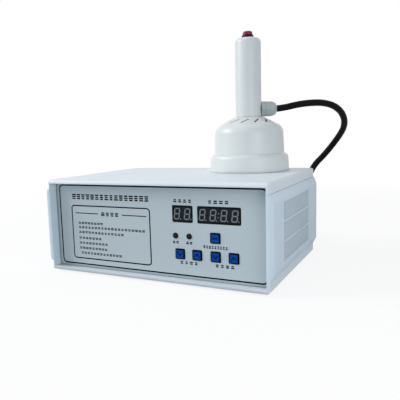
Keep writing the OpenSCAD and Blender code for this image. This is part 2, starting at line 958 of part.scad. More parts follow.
module fan_frame() {
    strut_w = 4;
    post_top = fan_depth - 10;
    color("#232527") at_fan() difference() {
        union() {
            difference() {
                union() {
                    for (z = [0, fan_depth - fan_flange_t])
                        translate([0, 0, z]) linear_extrude(fan_flange_t)
                            rounded_box_outline([fan_w, fan_w], 4);
                    cylinder(fan_depth, r = fan_w / 2 - play);
                }
                translate([0, 0, -1]) cylinder(fan_depth + 2, r = duct_r);
            }
            cylinder(fan_strut_t, r = fan_hub_r);
            for (turn = [0, 90])
                rotate(turn) translate([0, 0, fan_strut_t / 2])
                    cube([2 * duct_r + 1, strut_w, fan_strut_t], center = true);
            cylinder(post_top, r = 3.5);
        }
        translate([0, 0, fan_strut_t]) cylinder(fan_depth, r = 1.5 + play / 2);
        fan_corners() translate([0, 0, -1]) cylinder(fan_depth + 2, r = screw_r + play);
    }
}

module fan_rotor() {
    hub_front = fan_strut_t + 1;
    hub_back = fan_depth - 2;
    hub_t = 2.5;
    tip_r = duct_r - 1.2;
    blade_pitch = 40;
    blade_w = 22;
    blade_t = 1.6;
    color("#2b2d30") at_fan() {
        difference() {
            translate([0, 0, hub_front]) cylinder(hub_back - hub_front, r = fan_hub_r);
            translate([0, 0, hub_front - 1]) cylinder(hub_back - hub_front - hub_t + 1, r = fan_hub_r - 2);
        }
        translate([0, 0, fan_strut_t + 1]) cylinder(hub_back - fan_strut_t - 2, r = 1.5);
        for (i = [0:fan_blades - 1])
            rotate(i * 360 / fan_blades) intersection() {
                difference() {
                    cylinder(fan_depth, r = tip_r);
                    translate([0, 0, -1]) cylinder(fan_depth + 2, r = fan_hub_r - 1);
                }
                translate([(tip_r + fan_hub_r) / 2, 0, (hub_front + hub_back) / 2])
                    rotate([blade_pitch, 0, 0]) cube([tip_r, blade_w, blade_t], center = true);
            }
    }
}

module fan_guard() {
    rod_z = -panel_t - guard_rod_r;
    ring_z = rod_z - 1.5 * guard_wire_r;
    eye = fan_screw_pitch / sqrt(2);
    rod = 2 * (eye - screw_head_r - play);
    color("#c4c9cd") at_fan() {
        for (r = [guard_ring_step * 1.5 : guard_ring_step : duct_r])
            translate([0, 0, ring_z]) rotate_extrude() translate([r, 0]) circle(guard_wire_r);
        for (turn = [45, 135])
            rotate(turn) translate([-rod / 2, 0, rod_z]) rotate([0, 90, 0]) cylinder(rod, r = guard_rod_r);
        fan_corners() translate([0, 0, -panel_t - guard_wire_r])
            rotate_extrude() translate([guard_eye_r, 0]) circle(guard_wire_r);
    }
}

module fan_screws() {
    head_z = -panel_t - 2 * guard_wire_r;
    color("#b8bcc0") at_fan() fan_corners()
        translate([0, 0, head_z]) mirror([0, 0, 1]) pan_screw(screw_head_r, 2.4, screw_r, 18);
}

// Rear fittings

module inlet_pin_places() {
    for (place = [[-7, 2], [7, 2], [0, -2]]) translate(place) children();
}

module mains_inlet() {
    x = inlet_mouth[0] / 2;
    z = inlet_mouth[1] / 2;
    color("#1e2022") on_rear(-inlet_x, case_bottom + inlet_z) difference() {
        union() {
            linear_extrude(inlet_flange_t) rounded_box_outline(inlet_flange, 5);
            translate([0, 0, -inlet_body_depth]) linear_extrude(inlet_body_depth + overlap)
                square(inlet_body, center = true);
        }
        translate([0, 0, inlet_flange_t - inlet_depth]) linear_extrude(inlet_depth + 1)
            rounded_outline(
                [[-x, -z], [x, -z], [x, z - inlet_slant], [x - inlet_slant, z], [inlet_slant - x, z],
                    [-x, z - inlet_slant]],
                [1, 1, 1, 1, 1, 1]
            );
        inlet_pin_places()
            cube([inlet_pin[0] + play, inlet_pin[1] + play, 3 * inlet_body_depth], center = true);
    }
}

module inlet_pins() {
    tip = inlet_flange_t - inlet_depth + pin_len;
    color("#c4a35a") on_rear(-inlet_x, case_bottom + inlet_z) inlet_pin_places()
        translate([0, 0, -pin_tail]) linear_extrude(pin_tail + tip) square(inlet_pin, center = true);
}

module power_switch_frame() {
    color("#1e2022") on_rear(-inlet_x, case_bottom + switch_z) difference() {
        union() {
            linear_extrude(switch_bezel_t) rounded_box_outline(switch_bezel, 1.5);
            translate([0, 0, -switch_body_depth]) linear_extrude(switch_body_depth + overlap)
                square(switch_body, center = true);
        }
        translate([0, 0, -switch_well]) linear_extrude(2 * switch_well) square(switch_mouth, center = true);
        translate([0, 0, rocker_pivot]) rotate([0, 90, 0])
            cylinder(switch_mouth[0] + 1.2, r = rocker_pin_r + play / 2, center = true);
    }
}

// Rocker in its off position: one end stands out of the bezel
module power_rocker() {
    width = switch_mouth[0] - 2 * clearance;
    tip = rocker_crown + rocker_half * tan(rocker_tilt);
    root = rocker_root[0] / 2;
    color("#a3181c") on_rear(-inlet_x, case_bottom + switch_z)
        translate([0, 0, rocker_pivot]) rotate([rocker_tilt, 0, 0]) {
            rotate([90, 0, 90]) linear_extrude(width, center = true)
                polygon([
                    [-root, -rocker_root[1]], [root, -rocker_root[1]], [rocker_half, tip],
                    [0, rocker_crown], [-rocker_half, tip]
                ]);
            rotate([0, 90, 0]) cylinder(width + 1.4, r = rocker_pin_r, center = true);
        }
}

// Glands

module gland_body() {
    difference() {
        union() {
            hex_bar(gland_hex, gland_flange_t);
            translate([0, 0, -gland_thread_len])
                cylinder(gland_thread_len + gland_flange_t + gland_neck, r = gland_thread_r);
        }
        translate([0, 0, -gland_thread_len - 1])
            cylinder(gland_thread_len + gland_flange_t + gland_neck + 2, r = lead_d / 2 + 1);
    }
}

module gland_nut() {
    half = gland_hex / 2;
    corner = gland_hex / sqrt(3);
    translate([0, 0, gland_flange_t]) difference() {
        intersection() {
            hex_bar(gland_hex, gland_nut_len);
            rotate_extrude() intersection() {
                rounded_outline(
                    [[-corner, 0], [corner, 0], [half - 1, gland_nut_len], [1 - half, gland_nut_len]],
                    [0.6, 0.6, gland_dome / 2, gland_dome / 2]
                );
                square([corner, gland_nut_len]);
            }
        }
        translate([0, 0, -1]) cylinder(gland_neck + 1 + clearance, r = gland_thread_r + play / 2);
        cylinder(2 * gland_nut_len, r = gland_grip);
    }
}

module gland_locknut(depth) {
    translate([0, 0, -depth - locknut_t]) difference() {
        hex_bar(gland_hex, locknut_t);
        translate([0, 0, -1]) cylinder(locknut_t + 2, r = gland_thread_r + play / 2);
    }
}

module at_rear_gland() {
    on_rear(rear_gland_x, rear_gland_z) children();
}

module rear_gland_body() {
    color("#b9c2bd") at_rear_gland() gland_body();
}

module rear_gland_nut() {
    color("#b9c2bd") at_rear_gland() gland_nut();
}

module head_gland_body() {
    color("#b9c2bd") on_handle_side() gland_body();
}

module head_gland_nut() {
    color("#b9c2bd") on_handle_side() gland_nut();
}

module gland_locknuts() {
    color("#b9c2bd") {
        at_rear_gland() gland_locknut(panel_t);
        on_handle_side() gland_locknut(handle_locknut);
    }
}

// Sealing head

// Half outlines of the bell: its outside, and its hollow when t is the wall
module ring_outline(t) {
    top_r = head_r - ring_taper;
    outline = [[0, 0], [head_r, 0], [top_r, ring_h], [0, ring_h]];
    rounded_outline(
        [
            [0, -t],
            [head_r - t, -t],
            inset_corner(outline[1], outline[2], outline[3], t, t),
            [0, ring_h - t]
        ],
        [0, 0, ring_round - t, 0]
    );
}

module bell_outline(t) {
    outline = [[0, 0], [bell_r, 0], [shoulder_r, shoulder_h], [neck_r, neck_h], [0, neck_h]];
    rounded_outline(
        [
            [0, 0],
            [bell_r - t, 0],
            inset_corner(outline[1], outline[2], outline[3], t, t),
            inset_corner(outline[2], outline[3], outline[4], t, t),
            [0, neck_h - t]
        ],
        [0, 0, shoulder_round - t, 0, 0]
    );
}

module bell_outside() {
    rotate_extrude() {
        ring_outline(0);
        bell_outline(0);
    }
}

module bell_hollow() {
    rotate_extrude() ring_outline(bell_t);
    rotate_extrude() bell_outline(bell_t);
}

module plate_screw_places() {
    for (turn = [45 : 90 : 315]) rotate(turn) translate([boss_place_r, 0, 0]) children();
}

// Slots through the bell's cone, skewed so that they swirl round the neck
module swirl_slots() {
    for (i = [0:bell_slots - 1])
        rotate(slot_start + i * 360 / bell_slots) translate([slot_mid_r, 0, neck_h])
            rotate(-slot_skew) cube([slot_len, bell_slot_w, neck_h / 2], center = true);
}

module head_bell() {
    color("#d9d9d4") on_head() difference() {
        union() {
            difference() {
                bell_outside();
                bell_hollow();
            }
            intersection() {
                bell_outside();
                union() {
                    plate_screw_places() translate([0, 0, plate_z]) cylinder(neck_h, r = boss_r);
                    translate([0, 0, sleeve_floor - sleeve_ledge]) cylinder(neck_h, r = neck_r);
                }
            }
        }
        translate([0, 0, sleeve_floor]) cylinder(neck_h, r = handle_r + play);
        cylinder(neck_h, r = handle_r - handle_t);
        plate_screw_places() translate([0, 0, plate_z - 1]) cylinder(14, r = small_screw_r + play / 2);
        swirl_slots();
    }
}

module head_handle() {
    tall = handle_h - sleeve_floor;
    color("#dcdcd8") on_head() difference() {
        translate([0, 0, sleeve_floor]) rotate_extrude()
            rounded_outline([[0, 0], [handle_r, 0], [handle_r, tall], [0, tall]], [0, 0, handle_round, 0]);
        translate([0, 0, sleeve_floor - 1]) rotate_extrude()
            rounded_outline(
                [[0, 0], [handle_r - handle_t, 0], [handle_r - handle_t, tall + 1 - handle_roof],
                    [0, tall + 1 - handle_roof]],
                [0, 0, handle_round - handle_t, 0]
            );
        cylinder(2 * handle_h, r = bush_r + play);
        translate([0, 0, gland_h]) rotate([0, 90, gland_turn]) {
            translate([0, 0, gland_seat]) cylinder(handle_r, r = locknut_corner + 1.4);
            cylinder(2 * handle_r, r = gland_thread_r + play);
        }
    }
}

module sealing_plate() {
    plate_r = head_r - bell_t - ring_taper * (plate_z + bell_t) / ring_h - clearance;
    color("#c9c7bd") on_head() difference() {
        translate([0, 0, plate_gap]) cylinder(plate_t, r = plate_r);
        plate_screw_places() {
            translate([0, 0, plate_gap - 1]) cylinder(plate_t + 2, r = small_screw_r + play);
            translate([0, 0, plate_gap - 1]) cylinder(small_head_h + 1, r = small_head_r + play);
        }
    }
}

module plate_screws() {
    color("#b8bcc0") on_head() plate_screw_places()
        translate([0, 0, plate_gap + small_head_h]) mirror([0, 0, 1])
            pan_screw(small_head_r, small_head_h, small_screw_r, 10);
}

module induction_coil() {
    color("#b5702e") on_head() translate([0, 0, plate_z + wire_r]) rotate_extrude()
        for (i = [0:wire_turns - 1]) translate([winding_r + i * wire_pitch, 0]) circle(wire_r);
}

module coil_former() {
    color("#bfa679") on_head() translate([0, 0, former_z]) difference() {
        cylinder(former_t, r = winding_r + wire_turns * wire_pitch - wire_r);
        translate([0, 0, -1]) cylinder(former_t + 2, r = winding_r / 2);
    }
}

module ferrite_bars() {
    length = (wire_turns - 1) * wire_pitch;
    color("#38393b") on_head() translate([0, 0, former_z + former_t])
        for (i = [0:ferrite_count - 1])
            rotate(i * 360 / ferrite_count) translate([winding_r, -ferrite_w / 2, 0])
                cube([length, ferrite_w, ferrite_h]);
}

// Trigger

// Black bush: a tapered collar on a shank with a well for the button and room for its spring
module trigger_bush() {
    well_floor = handle_h + collar_h - well_h;
    color("#1b1c1e") on_head() difference() {
        union() {
            translate([0, 0, bush_floor - bush_floor_t])
                cylinder(handle_h - bush_floor + bush_floor_t, r = bush_r);
            translate([0, 0, handle_h]) cylinder(collar_h, r1 = collar_r, r2 = button_r + 0.8);
        }
        translate([0, 0, well_floor]) cylinder(2 * well_h, r = button_r + clearance);
        translate([0, 0, bush_floor]) cylinder(well_floor - bush_floor + 1, r = spring_room_r);
    }
}

module trigger_nut() {
    color("#b8bcc0") on_head() translate([0, 0, handle_h - handle_roof - trigger_nut_t]) difference() {
        hex_bar(trigger_nut_hex, trigger_nut_t);
        translate([0, 0, -1]) cylinder(trigger_nut_t + 2, r = bush_r + play / 2);
    }
}

// Wire helix between the bush's floor and the button
function ring_at(center, along, r, sides) =
    let (
        flat = abs(along[2]) > 0.98 ? [1, 0, 0] : [0, 0, 1],
        u = unit(cross(along, flat)),
        v = cross(u, along)
    )
    [for (i = [0:sides - 1]) center + r * (cos(i * 360 / sides) * u + sin(i * 360 / sides) * v)];

function direction(route, i) =
    unit(route[min(i + 1, len(route) - 1)] - route[max(i - 1, 0)]);

// Round rod swept along a route
module swept_rod(route, r, sides) {
    last = len(route) - 1;
    points = [for (i = [0:last]) each ring_at(route[i], direction(route, i), r, sides)];
    walls = [
        for (i = [0:last - 1], j = [0:sides - 1])
            let (k = (j + 1) % sides, a = i * sides, b = a + sides)
                [a + j, a + k, b + k, b + j]
    ];
    ends = [[for (j = [sides - 1:-1:0]) j], [for (j = [0:sides - 1]) last * sides + j]];
    polyhedron(points, concat(walls, ends));
}

module trigger_spring() {
    steps = spring_turns * 16;
    low = bush_floor + spring_wire_r;
    high = handle_h + collar_h - button_skirt - spring_wire_r - play;
    helix = [
        for (i = [0:steps])
            [spring_r * cos(i * 22.5), spring_r * sin(i * 22.5), low + (high - low) * i / steps]
    ];
    color("#c4c9cd") on_head() swept_rod(helix, spring_wire_r, 6);
}

module trigger_button() {
    foot = handle_h + collar_h - button_skirt;
    tall = button_skirt + button_h;
    stem = spring_room_h / 2;
    color("#8e1418") on_head() {
        translate([0, 0, foot]) rotate_extrude()
            rounded_outline([[0, 0], [button_r, 0], [button_r, tall], [0, tall]], [0, 0, 2.5, 0]);
        translate([0, 0, foot - stem]) cylinder(stem + overlap, r = button_stem_r);
    }
}

// Lead

module lead_rise() {
    color("#17181a") swept_rod(rise_route, lead_d / 2, lead_sides);
}

module lead_tail() {
    color("#17181a") swept_rod(tail_route, lead_d / 2, lead_sides);
}

// Outline of the stacked turns, grown all round by grow
module turns_outline(grow) {
    r = lead_d / 2 + grow;
    translate([-r, coil_low]) square([2 * r, coil_high - coil_low]);
    translate([0, coil_low]) circle(r);
    translate([0, coil_high]) circle(r);
}

module lead_coil() {
    color("#17181a") translate(coil_middle) rotate_extrude() translate([coil_r, 0]) turns_outline(0);
}

module coil_tie() {
    color("#2a2c2e") translate(coil_middle) rotate(300) translate([coil_r, 0, 0])
        along_depth(tie_w) difference() {
            turns_outline(clearance + tie_t);
            turns_outline(clearance);
        }
}

top_cover();
bottom_cover();
left_side_panel();
right_side_panel();
front_panel();
panel_film();
rear_panel();
feet();
case_screws();
display_board();
board_spacers();
board_screws();
time_display();
count_display();
display_segments();
indicator_lamps();
lamp_holders();
key_switches();
time_down_key();
time_up_key();
power_down_key();
power_up_key();
reset_key();
power_board();
heat_sink();
power_transistors();
bridge_rectifier();
filter_capacitors();
resonant_capacitors();
transformer_core();
transformer_winding();
mains_choke();
fan_frame();
fan_rotor();
fan_guard();
fan_screws();
mains_inlet();
inlet_pins();
power_switch_frame();
power_rocker();
rear_gland_body();
rear_gland_nut();
head_gland_body();
head_gland_nut();
gland_locknuts();
head_bell();
head_handle();
sealing_plate();
coil_former();
induction_coil();
ferrite_bars();
plate_screws();
trigger_bush();
trigger_nut();
trigger_spring();
trigger_button();
lead_rise();
lead_coil();
lead_tail();
coil_tie();
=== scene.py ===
# %% [markdown]
# # An induction cap sealer, dressed in Blender
# The machine is a plastic instrument case with a control panel, and a bell-shaped sealing head that
# stands on its lid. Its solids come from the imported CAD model, already in place and at real size. This
# lesson adds what CAD leaves out: the finish of every surface, the print on the panel, the shaped key
# caps and their marks, the screw recesses and the lead between the case and the head.

import json
import math

import bmesh
import bpy
from mathutils import Matrix, Vector


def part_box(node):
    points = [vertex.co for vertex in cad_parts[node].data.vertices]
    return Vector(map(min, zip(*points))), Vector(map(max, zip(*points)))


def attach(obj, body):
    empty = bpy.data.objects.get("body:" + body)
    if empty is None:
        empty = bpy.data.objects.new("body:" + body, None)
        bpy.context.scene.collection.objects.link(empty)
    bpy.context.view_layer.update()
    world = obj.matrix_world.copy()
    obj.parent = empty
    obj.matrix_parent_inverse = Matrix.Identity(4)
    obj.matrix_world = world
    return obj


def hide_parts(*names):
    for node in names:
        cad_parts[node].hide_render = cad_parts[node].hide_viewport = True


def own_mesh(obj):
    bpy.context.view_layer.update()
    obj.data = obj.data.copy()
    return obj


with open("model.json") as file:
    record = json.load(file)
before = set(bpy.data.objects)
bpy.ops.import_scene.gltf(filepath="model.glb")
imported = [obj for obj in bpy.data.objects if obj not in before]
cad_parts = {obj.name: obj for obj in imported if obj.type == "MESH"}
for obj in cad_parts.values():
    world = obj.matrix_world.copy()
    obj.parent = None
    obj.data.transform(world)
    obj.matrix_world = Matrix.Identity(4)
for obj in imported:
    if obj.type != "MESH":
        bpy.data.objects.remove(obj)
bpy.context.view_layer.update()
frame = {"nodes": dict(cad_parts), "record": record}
MM = 0.001

# %% [markdown]
# ## Camera
# The photograph was taken from the right of the panel, a little above the lid. A camera is a place, a
# direction and a lens. The place and the angles were found by fitting the case's corners, and the lens
# follows from the focal length in pixels on a picture 400 pixels wide. The small sideways shift stands
# for the crop of the original picture.

# %% Place the camera
PICTURE_PX = 400
FOCAL_PX = 488.8
OPTICAL_CENTRE_PX = 170
SENSOR_MM = 36
NEAREST_SEEN = 0.01
camera_place = Vector((0.2830, -0.5720, 0.1663))
camera_turn = math.radians(28.25)
camera_tilt = math.radians(7.46)
camera_roll = math.radians(-1.99)


def add_object(name, data):
    """An object in the scene for a mesh, a curve, a lamp or a camera."""
    thing = bpy.data.objects.new(name, data)
    bpy.context.collection.objects.link(thing)
    return thing


def camera_axes(turn, tilt, roll):
    """The camera's right, up and back directions as the columns of a matrix."""
    back = Vector((math.sin(turn) * math.cos(tilt), -math.cos(turn) * math.cos(tilt), math.sin(tilt)))
    right = Vector((math.cos(turn), math.sin(turn), 0))
    up = back.cross(right)
    rolled_right = math.cos(roll) * right + math.sin(roll) * up
    rolled_up = math.cos(roll) * up - math.sin(roll) * right
    return Matrix((rolled_right, rolled_up, back)).transposed()


camera_data = bpy.data.cameras.new("photo_camera")
camera_data.sensor_fit = "HORIZONTAL"
camera_data.sensor_width = SENSOR_MM
camera_data.lens = FOCAL_PX / PICTURE_PX * SENSOR_MM
camera_data.shift_x = (PICTURE_PX / 2 - OPTICAL_CENTRE_PX) / PICTURE_PX
camera_data.clip_start = NEAREST_SEEN
camera = add_object("photo_camera", camera_data)
camera_matrix = camera_axes(camera_turn, camera_tilt, camera_roll).to_4x4()
camera.matrix_world = Matrix.Translation(camera_place) @ camera_matrix
bpy.context.scene.camera = camera
print("lens %.1f mm, shift %.3f" % (camera_data.lens, camera_data.shift_x))

# %% [markdown]
# ## Light and ground
# The picture is a catalogue shot: soft light from the upper left and a white surround. Large area lamps
# give soft shadows. They stay at a level where a colour comes out about as it is written, so the white
# of the surround is not made by more light: the rays that the camera sees, straight or in a reflection,
# find a white world and a white ground. Near the machine the ground still shows its shadow.

# %% Colour and node helpers
WHITE = (1, 1, 1, 1)
# Sockets of a Mix node that works on colours: the two colours and the result
MIX_A, MIX_B, MIX_RESULT = 6, 7, 2


def linear(hex_text):
    """An sRGB hex colour as the linear values that shaders work with."""
    values = []
    for start in (1, 3, 5):
        c = int(hex_text[start : start + 2], 16) / 255
        values.append(c / 12.92 if c <= 0.04045 else ((c + 0.055) / 1.055) ** 2.4)
    return (*values, 1.0)


def add_node(tree, kind, settings=None, links=None):
    """A node with its settings and its incoming links; keys are sockets' names or numbers."""
    node = tree.nodes.new(kind)
    for key, value in (settings or {}).items():
        if isinstance(key, int) or key in node.inputs:
            node.inputs[key].default_value = value
        else:
            setattr(node, key, value)
    for key, socket in (links or {}).items():
        tree.links.new(socket, node.inputs[key])
    return node


def seen_by_camera(tree):
    """1 for rays that the camera sees straight, in a reflection or through glass, and 0 for others."""
    rays = add_node(tree, "ShaderNodeLightPath").outputs
    seen = rays["Is Camera Ray"]
    for kind in ("Is Glossy Ray", "Is Transmission Ray"):
        either = {0: seen, 1: rays[kind]}
        seen = add_node(tree, "ShaderNodeMath", {"operation": "MAXIMUM"}, either).outputs[0]
    return seen


print("middle grey in linear light: %.3f" % linear("#808080")[0])

# %% World
AMBIENT_LEVEL = 0.38
SURROUND_LEVEL = 1.0
scene = bpy.context.scene
scene.view_settings.view_transform = "Standard"
world = bpy.data.worlds.new("studio")
scene.world = world
world.use_nodes = True
sky = world.node_tree
sky.nodes.clear()
dim = {"Color": linear("#f1f6ff"), "Strength": AMBIENT_LEVEL}
ambient = add_node(sky, "ShaderNodeBackground", dim)
surround = add_node(sky, "ShaderNodeBackground", {"Color": WHITE, "Strength": SURROUND_LEVEL})
sides = {0: seen_by_camera(sky), 1: ambient.outputs[0], 2: surround.outputs[0]}
shown = add_node(sky, "ShaderNodeMixShader", links=sides)
add_node(sky, "ShaderNodeOutputWorld", links={"Surface": shown.outputs[0]})
print("world:", world.name)

# %% Lamps
LAMPS_FACE = Vector((0, 0, 0.12))


def add_lamp(name, place, size, power, tint="#ffffff"):
    """A square soft lamp that faces the machine, with its size in metres and its power in watts."""
    data = bpy.data.lights.new(name, "AREA")
    data.size = size
    data.energy = power
    data.color = linear(tint)[:3]
    lamp = add_object(name, data)
    lamp.location = place
    lamp.rotation_euler = (LAMPS_FACE - Vector(place)).to_track_quat("-Z", "Y").to_euler()
    return lamp


lamps = [
    add_lamp("window_lamp", (-1.8, -0.8, 1.2), 1.1, 34),
    add_lamp("ceiling_lamp", (-0.1, 0.3, 2.2), 1.5, 7),
    add_lamp("fill_lamp", (0.69, -0.58, 0.24), 0.5, 2.45, "#f5fbff"),
]
print("lamps:", [lamp.name for lamp in lamps])

# %% Ground
GROUND_HALF = 8
SHADOW_REACH = (0.45, 1.1)
GLOW_SHARE = (0.86, 1.0)
ground_mesh = bpy.data.meshes.new("ground")
square = [(-1, -1), (1, -1), (1, 1), (-1, 1)]
ground_mesh.from_pydata([(GROUND_HALF * x, GROUND_HALF * y, 0) for x, y in square], [], [(0, 1, 2, 3)])
ground = add_object("ground", ground_mesh)
paper = bpy.data.materials.new("white_paper_sweep")
paper.use_nodes = True
tree = paper.node_tree
tree.nodes.clear()
seen = seen_by_camera(tree)
papers = {"data_type": "RGBA", MIX_A: linear("#b4babf"), MIX_B: linear("#fafbfc")}
tint = add_node(tree, "ShaderNodeMix", papers, {0: seen})
matte = add_node(tree, "ShaderNodeBsdfDiffuse", links={"Color": tint.outputs[MIX_RESULT]})
place = add_node(tree, "ShaderNodeTexCoord").outputs["Object"]
away = add_node(tree, "ShaderNodeVectorMath", {"operation": "LENGTH"}, {0: place})
fade = {"From Min": SHADOW_REACH[0], "From Max": SHADOW_REACH[1]}
fade |= {"To Min": GLOW_SHARE[0], "To Max": GLOW_SHARE[1]}
clear = add_node(tree, "ShaderNodeMapRange", fade, {"Value": away.outputs["Value"]})
share = add_node(tree, "ShaderNodeMath", {"operation": "MULTIPLY"}, {0: seen, 1: clear.outputs[0]})
glow = add_node(tree, "ShaderNodeEmission", {"Color": WHITE, "Strength": SURROUND_LEVEL})
sides = {0: share.outputs[0], 1: matte.outputs[0], 2: glow.outputs[0]}
lit = add_node(tree, "ShaderNodeMixShader", links=sides)
add_node(tree, "ShaderNodeOutputMaterial", links={"Surface": lit.outputs[0]})
ground_mesh.materials.append(paper)
print("ground: %d m wide" % (2 * GROUND_HALF))

# %% [markdown]
# ## Moulded plastics
# Most of the machine is injection-moulded plastic. The mould's steel is spark-eroded, which leaves a
# fine satin grain, so highlights are broad and soft. Each plastic here has its own colour, a faint cloud
# in that colour from the pigment, and a grain that drives both the roughness and a shallow bump. A real
# grain is about 0.1 mm; it is drawn about ten times coarser so that it can show at all in a picture of
# the whole machine. One recipe serves them all, with the colour, the gloss and the grain as its values.
# A dark piece gets a lower specular level: the surround is white on every side here, and its reflection
# would veil a black that looked deep in the picture's darker room. The pale plastics and the film also
# get
# painted shade: their colour darkens in slots, joints and recesses, where the surface sees little sky.

# %% Moulded plastics
PLASTIC_IOR = 1.5
CLOUD_DETAIL = 4.0
GRAIN_DETAIL = 2.0
GRAIN_SPREAD = 0.08
GRAIN_BUMP = 0.3
SKY_SAMPLES = 8


def new_finish(name, constants):
    """A material with one shader that holds its constants, and the place on the piece in metres."""
    finish = bpy.data.materials.new(name)
    finish.use_nodes = True
    tree = finish.node_tree
    tree.nodes.clear()
    shader = add_node(tree, "ShaderNodeBsdfPrincipled", constants)
    add_node(tree, "ShaderNodeOutputMaterial", links={"Surface": shader.outputs[0]})
    return finish, tree, shader, add_node(tree, "ShaderNodeTexCoord").outputs["Object"]


def wire_up(tree, shader, colour, height, rough_ends, bump, depth_mm):
    """Links a colour, and one height pattern that drives both the roughness and a shallow bump."""
    ends = {"To Min": rough_ends[0], "To Max": rough_ends[1]}
    rough = add_node(tree, "ShaderNodeMapRange", ends, {"Value": height})
    relief = {"Strength": bump, "Distance": depth_mm * MM}
    raised = add_node(tree, "ShaderNodeBump", relief, {"Height": height})
    tree.links.new(colour, shader.inputs["Base Color"])
    tree.links.new(rough.outputs[0], shader.inputs["Roughness"])
    tree.links.new(raised.outputs[0], shader.inputs["Normal"])


def paint_hollow_shade(tree, colour, hollow_shade, reach_mm, shade_limits):
    """A colour with painted shade: it turns to a shade colour where surfaces within reach hide the sky.

    Below the first share of open sky in shade_limits there is only the shade colour, and above the
    second there is none.
    """
    reach = {"samples": SKY_SAMPLES, "Distance": reach_mm * MM}
    sky_seen = add_node(tree, "ShaderNodeAmbientOcclusion", reach)
    shares = {"From Min": shade_limits[0], "From Max": shade_limits[1]}
    unshaded = add_node(tree, "ShaderNodeMapRange", shares, {"Value": sky_seen.outputs["AO"]})
    hollow_shades = {"data_type": "RGBA", MIX_A: linear(hollow_shade)}
    mixed = add_node(tree, "ShaderNodeMix", hollow_shades, {0: unshaded.outputs[0], MIX_B: colour})
    return mixed.outputs[MIX_RESULT]


def moulded(
    name, light, dark, gloss, grain_mm, cloud_mm=45, depth_mm=0.05, shine=0.5, coat=0.0,
    hollow_shade=None, reach_mm=2.4, shade_limits=(0, 1),
):
    """Moulded plastic or rubber: two close colours in a soft cloud, with a satin grain."""
    constants = {"IOR": PLASTIC_IOR, "Specular IOR Level": shine, "Coat Weight": coat}
    finish, tree, shader, place = new_finish(name, constants)
    cloud_size = {"Scale": 1 / (cloud_mm * MM), "Detail": CLOUD_DETAIL}
    cloud = add_node(tree, "ShaderNodeTexNoise", cloud_size, {"Vector": place})
    shades = {"data_type": "RGBA", MIX_A: linear(light), MIX_B: linear(dark)}
    colour = add_node(tree, "ShaderNodeMix", shades, {0: cloud.outputs[0]}).outputs[MIX_RESULT]
    # Painted shade: the colour darkens where the surface sees little sky, in slots, joints and recesses
    if hollow_shade:
        colour = paint_hollow_shade(tree, colour, hollow_shade, reach_mm, shade_limits)
    grain_size = {"Scale": 1 / (grain_mm * MM), "Detail": GRAIN_DETAIL}
    grain = add_node(tree, "ShaderNodeTexNoise", grain_size, {"Vector": place}).outputs[0]
    rough_ends = (gloss - GRAIN_SPREAD, gloss + GRAIN_SPREAD)
    wire_up(tree, shader, colour, grain, rough_ends, GRAIN_BUMP, depth_mm)
    return finish


finishes = {
    # ABS of the case: pale blue-white and satin, with painted shade in its joints and recesses
    "cover_plastic": moulded(
        "abs_pale_blue_cover", "#e2ebf0", "#dae4ea", 0.45, 1.1, hollow_shade="#47525a", shade_limits=(0, 0.7)
    ),
    # The side panels get the same painted shade in their joints and recesses
    "side_plastic": moulded("abs_pale_blue_side", "#dae8f1", "#d0dfe9", 0.5, 1.1, hollow_shade="#47525a"),
    # ABS of the head: a warmer white with a little more gloss, and deep painted shade in its vent slots
    "head_plastic": moulded(
        "abs_white_head", "#e0e4e3", "#d7dcdc", 0.36, 0.9,
        hollow_shade="#050607", reach_mm=10, shade_limits=(0.47, 0.57),
    ),
    # Glass-filled black nylon and ABS: dark, with grey highlights
    "black_plastic": moulded("abs_black_fittings", "#151719", "#0f1012", 0.42, 0.8, shine=0.15),
    "package_epoxy": moulded("epoxy_black_package", "#232527", "#1a1b1d", 0.55, 0.7, shine=0.3),
    # Nylon of the glands: a greenish grey with a waxy sheen
    "gland_nylon": moulded("nylon_grey_gland", "#b7c1c0", "#abb5b4", 0.3, 0.9),
    # Rubber of the feet and the tie: nearly black and matt
    "dark_rubber": moulded(
        "rubber_dark_feet", "#26282a", "#1d1f20", 0.78, 0.7, depth_mm=0.08, shine=0.3
    ),
    # Rubber jacket of the lead: black and smoother than the feet
    "lead_rubber": moulded(
        "rubber_black_jacket", "#0e0f11", "#090a0c", 0.5, 1.4, cloud_mm=18, depth_mm=0.1, shine=0.07
    ),
    # Silicone key caps: deep blue and soft to the touch, so nearly matt
    "key_blue": moulded("silicone_blue_cap", "#0a4fae", "#084599", 0.55, 0.6, shine=0.05),
    # Red switch parts: polished mould, so a clear highlight
    "rocker_red": moulded(
        "polycarbonate_red_rocker", "#a81b1f", "#961519", 0.22, 1.2, depth_mm=0.02, shine=0.3
    ),
    "button_red": moulded(
        "polycarbonate_dark_red_button", "#a3123a", "#8a0d2f", 0.24, 1.2, depth_mm=0.02, shine=0.25
    ),
    # Potted box capacitors: flame-retardant polyester, dull
    "capacitor_box": moulded("polyester_red_box", "#a3352a", "#8e2b22", 0.5, 0.8),
    # Resin-bonded fabric board of the coil former
    "former_board": moulded("resin_fabric_board", "#bda572", "#a58c5c", 0.6, 1.0, cloud_mm=6),
    # Sintered ferrite: a dark, dry ceramic
    "ferrite": moulded("sintered_ferrite", "#343537", "#28292b", 0.6, 0.7, cloud_mm=8),
}
print("moulded finishes:", len(finishes))

# %% [markdown]
# ## Panel sheet, film and displays
# The front is a painted sheet under a printed polycarbonate film. The film has a velvet face: its grain
# is finer than the mould grain of the case, and its grey-blue ink is even. The displays are black
# housings with milky bars, dark while the machine is off, and each lamp is a tinted lens. These differ
# from the plastics above mostly in gloss, so the same recipe is used with their own sizes. The printing
# inks share one thin, dull layer.

